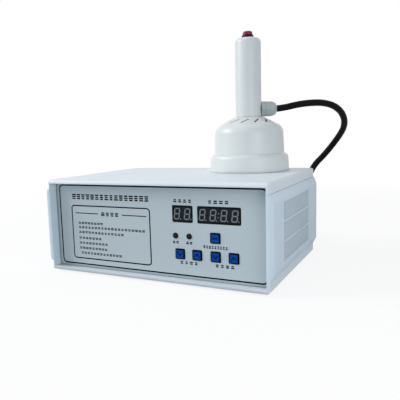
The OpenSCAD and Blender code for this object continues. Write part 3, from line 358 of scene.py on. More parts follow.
# %% Panel finishes
finishes |= {
    "panel_sheet": moulded("painted_steel_sheet", "#b4c0c6", "#abb8bf", 0.5, 0.9, depth_mm=0.03),
    # The film gets painted shade: its colour darkens near the rims and the lid round its recess
    "panel_film": moulded(
        "printed_velvet_film", "#c3cfd3", "#bdcacf", 0.48, 0.7, cloud_mm=80, depth_mm=0.02,
        hollow_shade="#4b575d", reach_mm=5,
    ),
    "display_black": moulded(
        "epoxy_charcoal_display", "#172025", "#12191d", 0.32, 0.8, depth_mm=0.02, shine=0.12
    ),
    "display_segment": moulded("diffuser_unlit_bar", "#7f888a", "#71797c", 0.4, 0.6, cloud_mm=3),
    "lamp_lens": moulded(
        "epoxy_tinted_lens", "#23272a", "#131618", 0.16, 1.5, cloud_mm=2, shine=0.1, coat=0.05
    ),
    "capacitor_sleeve": moulded("shrunk_blue_sleeve", "#263a66", "#1e3059", 0.25, 1.6, coat=0.3),
}
ink_layer = {"grain_mm": 0.6, "cloud_mm": 12, "depth_mm": 0.01}
ink = moulded("screen_ink_dark", "#151c20", "#101619", 0.6, shine=0.06, **ink_layer)
black_ink = moulded("screen_ink_black", "#0c0f11", "#08090b", 0.6, shine=0.06, **ink_layer)
white_ink = moulded("pad_print_white", "#e6e8e8", "#dcdfdf", 0.5, **ink_layer)
cap_ink_and_edge_shade = moulded("pad_print_navy_and_edge_shade", "#061233", "#040d27", 0.6, shine=0.06, **ink_layer)
print("finishes so far:", len(finishes))

# %% [markdown]
# ## Metals
# The small metal parts are zinc-plated screws, a bright wire guard, brass pins and spacers, an aluminium
# heat sink and enamelled copper. A metal's colour is its reflection, so the differences are in tint and
# in how the surface was worked. Drawing and rolling leave fine lines along one direction: noise that is
# stretched along an axis gives those. A winding shows its turns instead, as bands a wire apart.

# %% Worked metals
LINE_DETAIL = 3.0
LINE_SPREAD = (-0.07, 0.1)
LINE_BUMP = 0.15
LINE_DEPTH_MM = 0.03


def worked_metal(name, light, dark, gloss, line_mm, stretch):
    """Metal with fine lines: the noise is stretched along the axes where stretch is below 1."""
    finish, tree, shader, place = new_finish(name, {"Metallic": 1.0})
    along = add_node(tree, "ShaderNodeMapping", {"Scale": stretch}, {"Vector": place})
    line_size = {"Scale": 1 / (line_mm * MM), "Detail": LINE_DETAIL}
    lines = add_node(tree, "ShaderNodeTexNoise", line_size, {"Vector": along.outputs[0]}).outputs[0]
    shades = {"data_type": "RGBA", MIX_A: linear(light), MIX_B: linear(dark)}
    colour = add_node(tree, "ShaderNodeMix", shades, {0: lines}).outputs[MIX_RESULT]
    rough_ends = [gloss + spread for spread in LINE_SPREAD]
    wire_up(tree, shader, colour, lines, rough_ends, LINE_BUMP, LINE_DEPTH_MM)
    return finish


metals = {
    "plated_steel": worked_metal("zinc_plated_steel", "#cfd2d5", "#b9bdc2", 0.32, 0.8, (1, 1, 1)),
    "guard_wire": worked_metal("bright_plated_wire", "#dcdfe2", "#c6cace", 0.2, 1.0, (1, 1, 1)),
    "brass": worked_metal("turned_brass", "#d2b05c", "#b8933f", 0.3, 0.6, (1, 0.1, 1)),
    "heat_sink_metal": worked_metal(
        "extruded_aluminium", "#c3c7ca", "#adb2b6", 0.38, 0.7, (1, 1, 0.05)
    ),
}
finishes |= metals
print("metals:", [metal.name for metal in metals.values()])

# %% Enamelled copper and circuit board
# A wave texture of scale 1 repeats about every 0.314 of a unit
WAVE_REPEAT = 0.314
WIRE_MM = 1.3
TRACK_MM = 7
enamel = {"Metallic": 0.85, "Coat Weight": 0.5}
copper, tree, shader, place = new_finish("enamelled_copper_winding", enamel)
bands = {"bands_direction": "Z", "Scale": WAVE_REPEAT / (WIRE_MM * MM), "Distortion": 0.4}
turns = add_node(tree, "ShaderNodeTexWave", bands, {"Vector": place}).outputs["Fac"]
shades = {"data_type": "RGBA", MIX_A: linear("#6e3315"), MIX_B: linear("#c07a3c")}
shade = add_node(tree, "ShaderNodeMix", shades, {0: turns}).outputs[MIX_RESULT]
wire_up(tree, shader, shade, turns, rough_ends=(0.42, 0.26), bump=0.5, depth_mm=0.3)
finishes["copper_winding"] = copper

board, tree, shader, place = new_finish("solder_mask_board", {"IOR": 1.55})
greens = {"Color1": linear("#1f5c3a"), "Color2": linear("#1b5333"), "Mortar": linear("#2f7a4d")}
tracks = {"Scale": 1 / (TRACK_MM * MM), "Mortar Size": 0.06, **greens}
cells = add_node(tree, "ShaderNodeTexBrick", tracks, {"Vector": place}).outputs
wire_up(tree, shader, cells["Color"], cells["Fac"], rough_ends=(0.3, 0.42), bump=0.3, depth_mm=0.04)
finishes["circuit_board"] = board
print("finishes:", len(finishes))

# %% Give every solid its finish
for part in frame["record"]["subparts"]:
    solid = frame["nodes"][part["node"]].data
    solid.materials.clear()
    solid.materials.append(finishes[part["material_slot"]])

# %% [markdown]
# ## The lead
# A black rubber lead leaves the gland on the handle, bends over the rear corner of the lid and falls
# behind the case. What the picture doesn't show is wound into a tied coil there, and the end goes into
# a gland on the rear panel. The route's corner points are the ones that the solids follow, the coil is
# worked out as a helix, and a smooth curve runs through all of them. A curve with a round bevel keeps
# the lead editable: only its middle line would have to change.

# %% Route of the lead, in millimetres
LEAD_D = 8.5
COIL_R = 47
COIL_FROM = 60
COIL_TURNS = 3 + 1 / 3
COIL_LOW = 5.45
COIL_STEPS = 16
IN_NUT = 10.1
GLAND_REACH = 36
GLAND_TURN = math.radians(30)
REAR_NOSE_Y = 112.4
# Steps of the tail towards the case: how far in front of the coil's middle, and how far above the coil
TAIL_STEPS = [(18, 0.2), (36, 0.8)]
TAIL_RISE = 1
handle_at_gland = Vector((70, 50, 197))
gland_way = Vector((math.cos(GLAND_TURN), math.sin(GLAND_TURN), 0))
head_exit = handle_at_gland + GLAND_REACH * gland_way
coil_middle = Vector((40, 164.25, 0))
rise_steps = [
    -IN_NUT * gland_way, (0, 0, 0), (12.2, 4.9, 1.4), (27.7, 8.3, 4.2), (41.8, 14.8, 5.5),
    (54.9, 24.8, 5.1), (65.8, 37.5, 1.4), (72.9, 51, -5.9), (75.6, 64.8, -16.1), (73.2, 77.4, -26.7),
    (66.9, 88.2, -36.3), (58.8, 96, -46.5), (49.8, 100.6, -57.4), (40.3, 102, -68.3),
    (30.7, 100.1, -79.1),
]
fall_steps = [
    (84.5, -0.6, 103.7), (78.3, -0.7, 88.1), (72.9, 2.8, 72.5), (67.5, 8, 57.3), (62.5, 12.9, 41.9),
    (55.6, 19, 27.7), (46, 26.5, 16), (35.5, 33.7, 8.5),
]
coil_high = COIL_LOW + COIL_TURNS * LEAD_D
coil_count = round(COIL_TURNS * COIL_STEPS)
coil_route = []
for i in range(coil_count + 1):
    turn = math.radians(COIL_FROM + 360 * COIL_TURNS * i / coil_count)
    height = COIL_LOW + (coil_high - COIL_LOW) * i / coil_count
    coil_route.append(coil_middle + Vector((COIL_R * math.cos(turn), COIL_R * math.sin(turn), height)))
tail_x = coil_middle.x - COIL_R
rear_exit = Vector((tail_x, REAR_NOSE_Y, coil_high + TAIL_RISE))
tail_route = [Vector((tail_x, coil_middle.y - ahead, coil_high + up)) for ahead, up in TAIL_STEPS]
tail_route += [rear_exit, rear_exit - Vector((0, IN_NUT, 0))]
route = [head_exit + Vector(s) for s in rise_steps]
route += [coil_middle + Vector(s) for s in fall_steps]
route += coil_route + tail_route
print("route points:", len(route))

# %% Smooth curve through the route
SMOOTH_STEPS = 4
ROD_RESOLUTION = 6


def smooth_through(points, steps):
    """Points on a Catmull-Rom curve that passes through every given point."""
    line = []
    for i in range(len(points) - 1):
        p1, p2 = points[i], points[i + 1]
        p0 = points[i - 1] if i else 2 * p1 - p2
        p3 = points[i + 2] if i + 2 < len(points) else 2 * p2 - p1
        for k in range(steps):
            t = k / steps
            bend = (2 * p0 - 5 * p1 + 4 * p2 - p3) * t**2 + (3 * p1 - p0 - 3 * p2 + p3) * t**3
            line.append(p1 + ((p2 - p0) * t + bend) / 2)
    return line + [points[-1]]


def round_rod(name, line, radius, finish):
    """A curve along a line of points, with a round section."""
    curve = bpy.data.curves.new(name, "CURVE")
    curve.dimensions = "3D"
    curve.bevel_depth = radius
    curve.bevel_resolution = ROD_RESOLUTION
    curve.use_fill_caps = True
    spline = curve.splines.new("POLY")
    spline.points.add(len(line) - 1)
    for point, spot in zip(spline.points, line):
        point.co = (*spot, 1)
    spline.use_smooth = True
    curve.materials.append(finish)
    return add_object(name, curve)


lead_line = [p * MM for p in smooth_through(route, SMOOTH_STEPS)]
lead = round_rod("lead", lead_line, LEAD_D / 2 * MM, finishes["lead_rubber"])
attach(lead, "case")
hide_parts("lead_rise", "lead_coil", "lead_tail")

# %% [markdown]
# ## Print on the panel
# The film carries a thin border, a framed block of small print and short captions. Screen ink lies on
# the film as a layer a few hundredths of a millimetre thick, so each line is a very thin plate. The
# captions are drawn as rows of small blank bars in place of letters: they give the panel its texture at
# this distance and say nothing. A Geometry Nodes tree lays out one row from its length, its height and
# the number of marks, and is run once for each row.

# %% Outlines, plates and pieces, in millimetres
INK_T = 0.05
CURVE_STEPS = 6
TIGHTEST_R = 0.1
FILM_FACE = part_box("panel_film")[0].y / MM


def rounded_rectangle(half_w, half_h, r, steps=CURVE_STEPS):
    """Counterclockwise outline of a rectangle with round corners, about (0, 0)."""
    points = []
    for quarter, (sx, sy) in enumerate([(1, 1), (-1, 1), (-1, -1), (1, -1)]):
        for k in range(steps + 1):
            angle = math.radians(90 * (quarter + k / steps))
            x = sx * (half_w - r) + r * math.cos(angle)
            points.append((x, sy * (half_h - r) + r * math.sin(angle)))
    return points


def circle(r, steps):
    """Counterclockwise outline of a circle, about (0, 0)."""
    turns = [math.tau * k / steps for k in range(steps)]
    return [(r * math.cos(turn), r * math.sin(turn)) for turn in turns]


def box_outline(left, low, right, high):
    """Outline of a plain rectangle between two of its corners."""
    return [(left, low), (right, low), (right, high), (left, high)]


def add_plate(shape, outline, face, t=INK_T):
    """A thin upright plate on a face: its outline is in x and z, and it stands t out to the front."""
    fronts = [shape.verts.new((x, face - t, z)) for x, z in outline]
    backs = [shape.verts.new((x, face, z)) for x, z in outline]
    shape.faces.new(fronts)
    shape.faces.new(backs[::-1])
    for i in range(len(outline)):
        k = (i + 1) % len(outline)
        shape.faces.new((fronts[k], fronts[i], backs[i], backs[k]))


def add_loft(shape, rings, hollow=False):
    """Joins rings of equal length into a closed skin: capped at both ends, or hollow like a tube."""
    loops = [[shape.verts.new(p) for p in ring] for ring in rings]
    for a, b in zip(loops, loops[1:] + loops[:1] if hollow else loops[1:]):
        for i in range(len(a)):
            k = (i + 1) % len(a)
            shape.faces.new((a[i], a[k], b[k], b[i]))
    if not hollow:
        shape.faces.new(loops[0])
        shape.faces.new(loops[-1][::-1])


def add_frame_line(shape, middle, half_w, half_h, r, line_w, face, t=INK_T):
    """A thin closed line round a rectangle, as the space between two outlines."""
    outer = rounded_rectangle(half_w, half_h, r)
    inner = rounded_rectangle(half_w - line_w, half_h - line_w, max(r - line_w, TIGHTEST_R))
    rings = []
    for outline, depth in ((outer, 0), (outer, t), (inner, t), (inner, 0)):
        rings.append([(middle[0] + x, face - depth, middle[1] + z) for x, z in outline])
    add_loft(shape, rings, hollow=True)


def mesh_of(name, shape):
    """The mesh of a shape, with its faces turned outwards; the shape is used up."""
    bmesh.ops.recalc_face_normals(shape, faces=shape.faces)
    mesh = bpy.data.meshes.new(name)
    shape.to_mesh(mesh)
    shape.free()
    return mesh


def finish_piece(name, shape, finish, body):
    """Turns a shape in millimetres into a piece in metres that rides on a body."""
    mesh = mesh_of(name, shape)
    mesh.transform(Matrix.Scale(MM, 4))
    mesh.materials.append(finish)
    piece = add_object(name, mesh)
    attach(piece, body)
    return piece


def box_mm(node):
    """The low and the high corner of a node's box, in millimetres."""
    return [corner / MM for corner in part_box(node)]


print("film face at y = %.2f mm" % FILM_FACE)

# %% Lines
border = {"middle": (1.45, 59.5), "half_w": 136.25, "half_h": 50.8, "r": 5.8, "line_w": 1.7}
list_frame = {"middle": (-59.15, 50.45), "half_w": 57.4, "half_h": 34.2, "r": 4.5, "line_w": 1.5}
rules = [(-110, 74, -76, 75.1), (-41, 74, -7, 75.1)]
shape = bmesh.new()
for line in (border, list_frame):
    add_frame_line(shape, face=FILM_FACE, **line)
for rule in rules:
    add_plate(shape, box_outline(*rule), FILM_FACE)
panel_lines = finish_piece("panel_lines", shape, black_ink, "case")
print("lines:", len(panel_lines.data.polygons), "faces")

# %% Start, end and run a tree


def new_tree(name, kinds):
    """A Geometry Nodes tree with named inputs: the tree, the inputs' identifiers and their sockets."""
    tree = bpy.data.node_groups.new(name, "GeometryNodeTree")
    tree.is_modifier = True
    tree.interface.new_socket("Geometry", in_out="OUTPUT", socket_type="NodeSocketGeometry")
    inputs = {}
    for label, kind in kinds.items():
        socket = tree.interface.new_socket(label, in_out="INPUT", socket_type="NodeSocket" + kind)
        inputs[label] = socket.identifier
    return tree, inputs, add_node(tree, "NodeGroupInput").outputs


def end_tree(tree, copies, finish):
    """Turns a tree's copies into plain mesh with a finish, as its result."""
    plain = add_node(tree, "GeometryNodeRealizeInstances", links={"Geometry": copies.outputs[0]})
    dressed = {"Geometry": plain.outputs[0], "Material": finish}
    result = add_node(tree, "GeometryNodeSetMaterial", links=dressed)
    add_node(tree, "NodeGroupOutput", links={"Geometry": result.outputs[0]})


def evaluated_mesh(thing):
    """The mesh of an object as its modifiers or its bevel leave it."""
    graph = bpy.context.evaluated_depsgraph_get()
    return bpy.data.meshes.new_from_object(thing.evaluated_get(graph), depsgraph=graph)


def grown_mesh(tree, inputs, values):
    """The mesh that a tree makes from these values."""
    holder = add_object("holder", bpy.data.meshes.new("holder"))
    grower = holder.modifiers.new("grower", "NODES")
    grower.node_group = tree
    for label, value in values.items():
        grower[inputs[label]] = value
    mesh = evaluated_mesh(holder)
    holder.modifiers.remove(grower)
    bpy.data.objects.remove(holder)
    return mesh


print("tree helpers:", [helper.__name__ for helper in (new_tree, end_tree, grown_mesh)])

# %% Tree for a row of marks
BAR_SHARE = 0.76
SMALLEST_BAR = (0.6, 1, 0.85)
LARGEST_BAR = (1, 1, 1)
row_kinds = {
    "Row length": "Float",
    "Row height": "Float",
    "Marks along": "Int",
    "Bars in a mark": "Int",
    "Inked share": "Float",
    "Ink thickness": "Float",
    "Seed": "Int",
    "Ink": "Material",
}
rows_tree, row_inputs, given = new_tree("row_of_marks", row_kinds)
parted = {"operation": "DIVIDE"}
lengths = {0: given["Row length"], 1: given["Marks along"]}
pitch = add_node(rows_tree, "ShaderNodeMath", parted, lengths).outputs[0]
heights = {0: given["Row height"], 1: given["Bars in a mark"]}
rise = add_node(rows_tree, "ShaderNodeMath", parted, heights).outputs[0]
less = {"operation": "SUBTRACT"}
span = add_node(rows_tree, "ShaderNodeMath", less, {0: given["Row length"], 1: pitch})
stack = add_node(rows_tree, "ShaderNodeMath", less, {0: given["Row height"], 1: rise})
sizes = {"Size X": span.outputs[0], "Size Y": stack.outputs[0]}
counts = {"Vertices X": given["Marks along"], "Vertices Y": given["Bars in a mark"]}
grid = add_node(rows_tree, "GeometryNodeMeshGrid", links=sizes | counts)
quarter_turn = {"Rotation": (math.pi / 2, 0, 0)}
upright = add_node(
    rows_tree, "GeometryNodeTransform", quarter_turn, {"Geometry": grid.outputs["Mesh"]}
)
times = {"operation": "MULTIPLY"}
bar_w = add_node(rows_tree, "ShaderNodeMath", times, {0: pitch, 1: given["Inked share"]})
bar_h = add_node(rows_tree, "ShaderNodeMath", times | {1: BAR_SHARE}, {0: rise})
size = {"X": bar_w.outputs[0], "Y": given["Ink thickness"], "Z": bar_h.outputs[0]}
bar_size = add_node(rows_tree, "ShaderNodeCombineXYZ", links=size)
bar = add_node(rows_tree, "GeometryNodeMeshCube", links={"Size": bar_size.outputs[0]})
# Sockets 0 and 1 of a Random Value node are the limits of a vector
limits = {"data_type": "FLOAT_VECTOR", 0: SMALLEST_BAR, 1: LARGEST_BAR}
uneven = add_node(rows_tree, "FunctionNodeRandomValue", limits, {"Seed": given["Seed"]})
on_grid = {"Points": upright.outputs[0], "Instance": bar.outputs["Mesh"], "Scale": uneven.outputs[0]}
marks = add_node(rows_tree, "GeometryNodeInstanceOnPoints", links=on_grid)
end_tree(rows_tree, marks, given["Ink"])
print("row inputs:", list(row_inputs))

# %% Rows of marks
# A row is its left and right end, how far its middle is above the case's underside, its height, the
# number of marks, the bars in a mark and the inked share
CASE_UNDERSIDE = 2
FACES_OF_A_BAR = 6
mark_rows = [
    (-115, -2.4, 93.2, 7.2, 16, 3, 0.86),
    (-72, -45, 72.5, 5.0, 4, 3, 0.8),
    (-107, -69, 60.1, 3.0, 8, 2, 0.86),
    (-107, -9, 54.7, 3.0, 20, 2, 0.86),
    (-107, -39, 48.4, 3.0, 14, 2, 0.86),
    (-107, -72, 41.1, 3.0, 7, 2, 0.86),
    (-107, -63, 34.7, 3.0, 9, 2, 0.86),
    (-107, -64, 28.3, 3.0, 9, 2, 0.86),
    (-105, -43, 21.9, 3.0, 13, 2, 0.86),
    (28.0, 52.4, 92.3, 4.2, 4, 2, 0.7),
    (70.2, 96.2, 92.2, 4.2, 4, 2, 0.7),
    (26.3, 35.1, 45.0, 3.4, 2, 2, 0.75),
    (43.2, 52.0, 45.2, 3.4, 2, 2, 0.75),
    (64.4, 93.6, 42.4, 3.8, 9, 2, 0.75),
    (34.6, 58.4, 22.2, 3.8, 4, 2, 0.7),
    (77.6, 101.6, 22.1, 3.8, 4, 2, 0.7),
]
shape = bmesh.new()
for seed, (left, right, z, height, count, bars, share) in enumerate(mark_rows):
    values = {
        "Row length": float(right - left),
        "Row height": height,
        "Marks along": count,
        "Bars in a mark": bars,
        "Inked share": share,
        "Ink thickness": INK_T,
        "Seed": seed,
        "Ink": ink,
    }
    row = grown_mesh(rows_tree, row_inputs, values)
    row_middle = ((left + right) / 2, FILM_FACE - INK_T / 2, z + CASE_UNDERSIDE)
    row.transform(Matrix.Translation(row_middle))
    shape.from_mesh(row)
    bpy.data.meshes.remove(row)
panel_marks = finish_piece("panel_marks", shape, ink, "case")
print("bars:", len(panel_marks.data.polygons) // FACES_OF_A_BAR)

# %% [markdown]
# ## Displays and keys
# Each display's housing has a black edge round a charcoal face, and the film's window rounds its corners
# off: a plate between a corner and an arc stands for each. The keys are silicone caps with soft
# edges and a slightly hollow face for the fingertip, and a black printed line frames each one. A cap is
# a stack of rounded squares from the back to the face, joined ring by ring: the insets of the last rings
# make the soft edge and the hollow. The edge gets painted shade in the navy ink of the marks, for the
# dark gap round the key; the marks are plain arrows and a dash.

# %% Black edges and window corners
EDGE_R = 0.3
EDGE_W = 1.5
WINDOW_R = 1.7
shape = bmesh.new()
window_shape = bmesh.new()
for node in ("time_display", "count_display"):
    low, high = box_mm(node)
    centre = ((low.x + high.x) / 2, (low.z + high.z) / 2)
    half_w, half_h = (high.x - low.x) / 2, (high.z - low.z) / 2
    add_frame_line(shape, centre, half_w, half_h, EDGE_R, EDGE_W, low.y)
    for sx, sz in ((-1, -1), (-1, 1), (1, -1), (1, 1)):
        outline = [(centre[0] + sx * half_w, centre[1] + sz * half_h)]
        for k in range(CURVE_STEPS + 1):
            angle = math.radians(90 * k / CURVE_STEPS)
            u, v = WINDOW_R * (1 - math.cos(angle)), WINDOW_R * (1 - math.sin(angle))
            outline.append((centre[0] + sx * (half_w - u), centre[1] + sz * (half_h - v)))
        add_plate(window_shape, outline, low.y - INK_T)
display_edges = finish_piece("display_edges", shape, black_ink, "case")
window_corners = finish_piece(
    "window_corners", window_shape, finishes["panel_film"], "case"
)
print("displays:", display_edges.name, window_corners.name)

# %% Frames round the keys
# The way each key's arrow points; 0 stands for a dash
KEYS = {"time_down_key": -1, "time_up_key": 1, "power_down_key": -1, "power_up_key": 1, "reset_key": 0}
WINDOW_HALF = 5.6
KEY_LINE = 0.6
KEY_FRAME_R = 1.6
key_half = WINDOW_HALF + KEY_LINE
shape = bmesh.new()
for node in KEYS:
    low, high = box_mm(node)
    centre = ((low.x + high.x) / 2, (low.z + high.z) / 2)
    add_frame_line(shape, centre, key_half, key_half, KEY_FRAME_R, KEY_LINE, FILM_FACE)
key_frames = finish_piece("key_frames", shape, black_ink, "case")
print("frames:", len(KEYS), "in", key_frames.name)

# %% Shape of a key cap
# A section of a cap is its inset from the outline and its depth behind the face
CAP_BACK = 4.3
CAP_SECTIONS = [
    (0, CAP_BACK), (0, 1.0), (0.1, 0.45), (0.35, 0.15), (0.8, 0), (1.6, 0.04), (3.2, 0.16),
]
# Corner radius of a section: at the outline, at least, and how much of an inset it loses
CAP_R, CAP_R_LEAST, CAP_R_LOSS = 1, 0.3, 0.6
CAP_CURVE_STEPS = 4
CAP_EDGE = 0.6
CAP_SHARP = 50
STEM_R = 3.3
STEM_STEPS = 20
STEM_IN_CAP = 0.2


def shade_smooth(mesh, sharp_degrees):
    """Smooth shading, with edges left sharp where the faces turn by more than an angle."""
    for polygon in mesh.polygons:
        polygon.use_smooth = True
    mesh.set_sharp_from_angle(angle=math.radians(sharp_degrees))


def cap_ring(x, z, half, inset, y):
    """One rounded square of a cap."""
    r = max(CAP_R - inset * CAP_R_LOSS, CAP_R_LEAST)
    outline = rounded_rectangle(half - inset, half - inset, r, CAP_CURVE_STEPS)
    return [(x + u, y, z + v) for u, v in outline]


def add_cap(shape, x, z, half, front, back):
    """A cap with its face at the front, and the stem that ends at the back."""
    add_loft(shape, [cap_ring(x, z, half, inset, front + y) for inset, y in CAP_SECTIONS])
    stem = circle(STEM_R, STEM_STEPS)
    stem_ends = (back, front + CAP_BACK - STEM_IN_CAP)
    add_loft(shape, [[(x + u, y, z + v) for u, v in stem] for y in stem_ends])


print("cap: %d rings, stem %.1f mm thick" % (len(CAP_SECTIONS), 2 * STEM_R))

# %% Outlines of the marks
ARROW_TIP, ARROW_FOOT, ARROW_HALF = 2.5, 2.3, 3.8
# Thickness of an arrow's arms, below the tip and along the foot
ARROW_DROP, ARROW_STEP = 1.75, 1.125
DASH_HALF_W, DASH_HALF_H = 3.2, 0.7


def mark_outlines(x, z, arrow):
    """The two arms of an arrow that points up for 1 and down for -1, or a dash for 0."""
    if not arrow:
        return [box_outline(x - DASH_HALF_W, z - DASH_HALF_H, x + DASH_HALF_W, z + DASH_HALF_H)]
    top, bottom = z + arrow * ARROW_TIP, z - arrow * ARROW_FOOT
    arms = []
    for side in (-1, 1):
        foot_x = x + side * ARROW_HALF
        inner_foot = (foot_x - side * ARROW_STEP, bottom)
        arms.append([(x, top), (x, top - arrow * ARROW_DROP), inner_foot, (foot_x, bottom)])
    return arms


print("plates of an arrow:", len(mark_outlines(0, 0, 1)), "of a dash:", len(mark_outlines(0, 0, 0)))

# %% Caps and their marks
MARK_SUNK = 0.17
MARK_T = 0.2
for node, arrow in KEYS.items():
    low, high = box_mm(node)
    x, z, half = (low.x + high.x) / 2, (low.z + high.z) / 2, (high.x - low.x) / 2
    shape = bmesh.new()
    add_cap(shape, x, z, half, low.y, high.y)
    cap = finish_piece(node + "_cap", shape, finishes["key_blue"], node + "_body")
    shade_smooth(cap.data, CAP_SHARP)
    # Painted shade: the cap's soft edge, within CAP_EDGE of its outline, takes the navy ink as the dark
    # gap round the key
    cap.data.materials.append(cap_ink_and_edge_shade)
    for polygon in cap.data.polygons:
        spot = polygon.center / MM
        if max(abs(spot.x - x), abs(spot.z - z)) > half - CAP_EDGE:
            polygon.material_index = 1
    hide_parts(node)

    shape = bmesh.new()
    for outline in mark_outlines(x, z, arrow):
        add_plate(shape, outline, low.y + MARK_SUNK, MARK_T)
    finish_piece(node + "_mark", shape, cap_ink_and_edge_shade, node + "_body")
print("caps:", len(KEYS))

# %% [markdown]
# ## Screws
# The fan and the case are held by pan-head screws with a cross recess. CAD keeps them as plain
# cylinders, so each set is replaced. One screw is turned from its profile and a cross-shaped cutter is
# taken out of it with a Boolean modifier; Geometry Nodes then puts a copy on each corner of a rectangle.

# %% Pan-head screws
SCREW_STEPS = 28
SCREW_HEAD_R = 3.8
SHANK_R = 2
POINT_R = 0.7 * SHANK_R
POINT_LENGTH = 0.8
# The head's rounding, as shares of its radius and its height
HEAD_SHARES = [(1, 0), (1, 0.45), (0.93, 0.72), (0.74, 0.92), (0.45, 1)]
# The cross: its arm and half width as shares of the radius, its depth as a share of the height
CROSS_ARM, CROSS_W, CROSS_DEEP = 0.56, 0.17, 0.6
# How wide the cutter is at its bottom and at its top, above the head
CROSS_TAPER = (0.55, 1.1)
CUTTER_ABOVE = 1


def pan_head_screw(head_h, length):
    """A screw in millimetres along Z, with the underside of its head at z = 0 and the head above."""
    profile = [(POINT_R, -length), (SHANK_R, -length + POINT_LENGTH), (SHANK_R, 0)]
    profile += [(SCREW_HEAD_R * wide, head_h * high) for wide, high in HEAD_SHARES]
    shape = bmesh.new()
    add_loft(shape, [[(u, v, z) for u, v in circle(r, SCREW_STEPS)] for r, z in profile])
    screw = add_object("screw", mesh_of("screw_body", shape))
    arm, w = SCREW_HEAD_R * CROSS_ARM, SCREW_HEAD_R * CROSS_W
    plus = [
        (w, w), (w, arm), (-w, arm), (-w, w), (-arm, w), (-arm, -w),
        (-w, -w), (-w, -arm), (w, -arm), (w, -w), (arm, -w), (arm, w),
    ]
    ends = zip(CROSS_TAPER, (head_h - head_h * CROSS_DEEP, head_h + CUTTER_ABOVE))
    shape = bmesh.new()
    add_loft(shape, [[(u * s, v * s, z) for u, v in plus] for s, z in ends])
    cutter = add_object("cutter", mesh_of("screw_cross", shape))
    cut = screw.modifiers.new("cut", "BOOLEAN")
    cut.object = cutter
    cut.operation = "DIFFERENCE"
    mesh = evaluated_mesh(screw)
    for part in (screw, cutter):
        bpy.data.objects.remove(part)
    return mesh


fan_screw = pan_head_screw(head_h=2.4, length=18)
case_screw = pan_head_screw(head_h=2.8, length=20)
print("screws:", len(fan_screw.polygons), "and", len(case_screw.polygons), "faces")

# %% Tree that puts a copy on each corner of a rectangle
corner_kinds = {
    "Copied object": "Object",
    "Width": "Float",
    "Depth": "Float",
    "Turn": "Float",
    "Seed": "Int",
    "Finish": "Material",
}
corner_tree, corner_inputs, given = new_tree("copies_on_corners", corner_kinds)
sizes = {"Size X": given["Width"], "Size Y": given["Depth"]}
counts = {"Vertices X": 2, "Vertices Y": 2}
rectangle = add_node(corner_tree, "GeometryNodeMeshGrid", counts, sizes)
source = {"Object": given["Copied object"]}
copied = add_node(corner_tree, "GeometryNodeObjectInfo", {"As Instance": True}, source)
# Its sockets 2 and 3 are the limits of a single number, which comes out at output 1
limits = {"data_type": "FLOAT", 2: 0.0}
most = {3: given["Turn"], "Seed": given["Seed"]}
spread = add_node(corner_tree, "FunctionNodeRandomValue", limits, most)
twist = add_node(corner_tree, "ShaderNodeCombineXYZ", links={"Z": spread.outputs[1]})
on_corners = {
    "Points": rectangle.outputs["Mesh"],
    "Instance": copied.outputs["Geometry"],
    "Rotation": twist.outputs[0],
}
copies = add_node(corner_tree, "GeometryNodeInstanceOnPoints", links=on_corners)
end_tree(corner_tree, copies, given["Finish"])
print("corner inputs:", list(corner_inputs))

# %% Fan screws and case screws


def screw_set(name, node, screw, width, depth, to_place, seed):
    """Copies of a screw on the corners of a rectangle, moved to their place, in place of a node."""
    template = add_object("template", screw)
    values = {
        "Copied object": template,
        "Width": width,
        "Depth": depth,
        "Turn": math.pi / 2,
        "Seed": seed,
        "Finish": finishes["plated_steel"],
    }
    mesh = grown_mesh(corner_tree, corner_inputs, values)
    bpy.data.objects.remove(template)
    mesh.transform(to_place)
    shape = bmesh.new()
    shape.from_mesh(mesh)
    bpy.data.meshes.remove(mesh)
    piece = finish_piece(name, shape, finishes["plated_steel"], "case")
    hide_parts(node)
    return piece


def middle_of(node):
    """Middle of a node's box, in millimetres."""
    low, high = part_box(node)
    return (low + high) / 2 / MM


FAN_PITCH = 71.5
FAN_SEAT_Y = 94
FAN_SEED = 3
COLUMN_X, COLUMN_Y = 126.5, 77
CASE_SEAT_Z = 10
CASE_SEED = 7
fan_middle = middle_of("fan_screws")
fan_seat = Matrix.Translation((fan_middle.x, FAN_SEAT_Y, fan_middle.z))
case_seat = Matrix.Translation((0, 0, CASE_SEAT_Z))
fan_screw_heads = screw_set(
    "fan_screw_heads", "fan_screws", fan_screw, FAN_PITCH, FAN_PITCH,
    fan_seat @ Matrix.Rotation(math.radians(-90), 4, "X"), FAN_SEED,
)
case_screw_heads = screw_set(
    "case_screw_heads", "case_screws", case_screw, 2 * COLUMN_X, 2 * COLUMN_Y,
    case_seat @ Matrix.Rotation(math.pi, 4, "X"), CASE_SEED,
)
print("screws:", fan_screw_heads.name, case_screw_heads.name)

# %% [markdown]
# ## Gland nuts
# Each end of the lead is held by a nylon gland: a hexagonal flange and a domed nut that squeezes a seal
# round the lead. The nut is a hexagon at its foot and a circle at its nose, so each of its sections is a
# mix of the two. The sections are given by how far they are from the flange, by their size and by how
# round they are; a bore for the lead makes the nut hollow.

# %% Domed nuts
NUT_HALF = 9.5
CORNER_LIMIT = 1.12
BORE_PLAY = 0.2
NUT_BORE_R = LEAD_D / 2 + BORE_PLAY
NUT_SIDES = 48
NUT_SHARP = 35
THREAD_R = 7.7
THREAD_DEEP = 5.3
nut_sections = [
    (0, 0.94, 0.3), (0.6, 1, 0), (7.4, 1, 0), (9.4, 0.985, 0.4), (11.4, 0.94, 0.75), (13, 0.87, 0.95),
    (14.4, 0.77, 1), (15.4, 0.62, 1),
]


def nut_ring(along, size, round_share):
    """A section of the nut: a hexagon that turns to a circle as the share goes from 0 to 1."""
    ring = []
    for k in range(NUT_SIDES):
        turn = math.tau * k / NUT_SIDES
        hexagon = NUT_HALF / math.cos(turn % (math.pi / 3) - math.pi / 6)
        mixed = (1 - round_share) * hexagon + round_share * NUT_HALF
        r = size * min(mixed, NUT_HALF * CORNER_LIMIT)
        ring.append((r * math.cos(turn), r * math.sin(turn), along))
    return ring


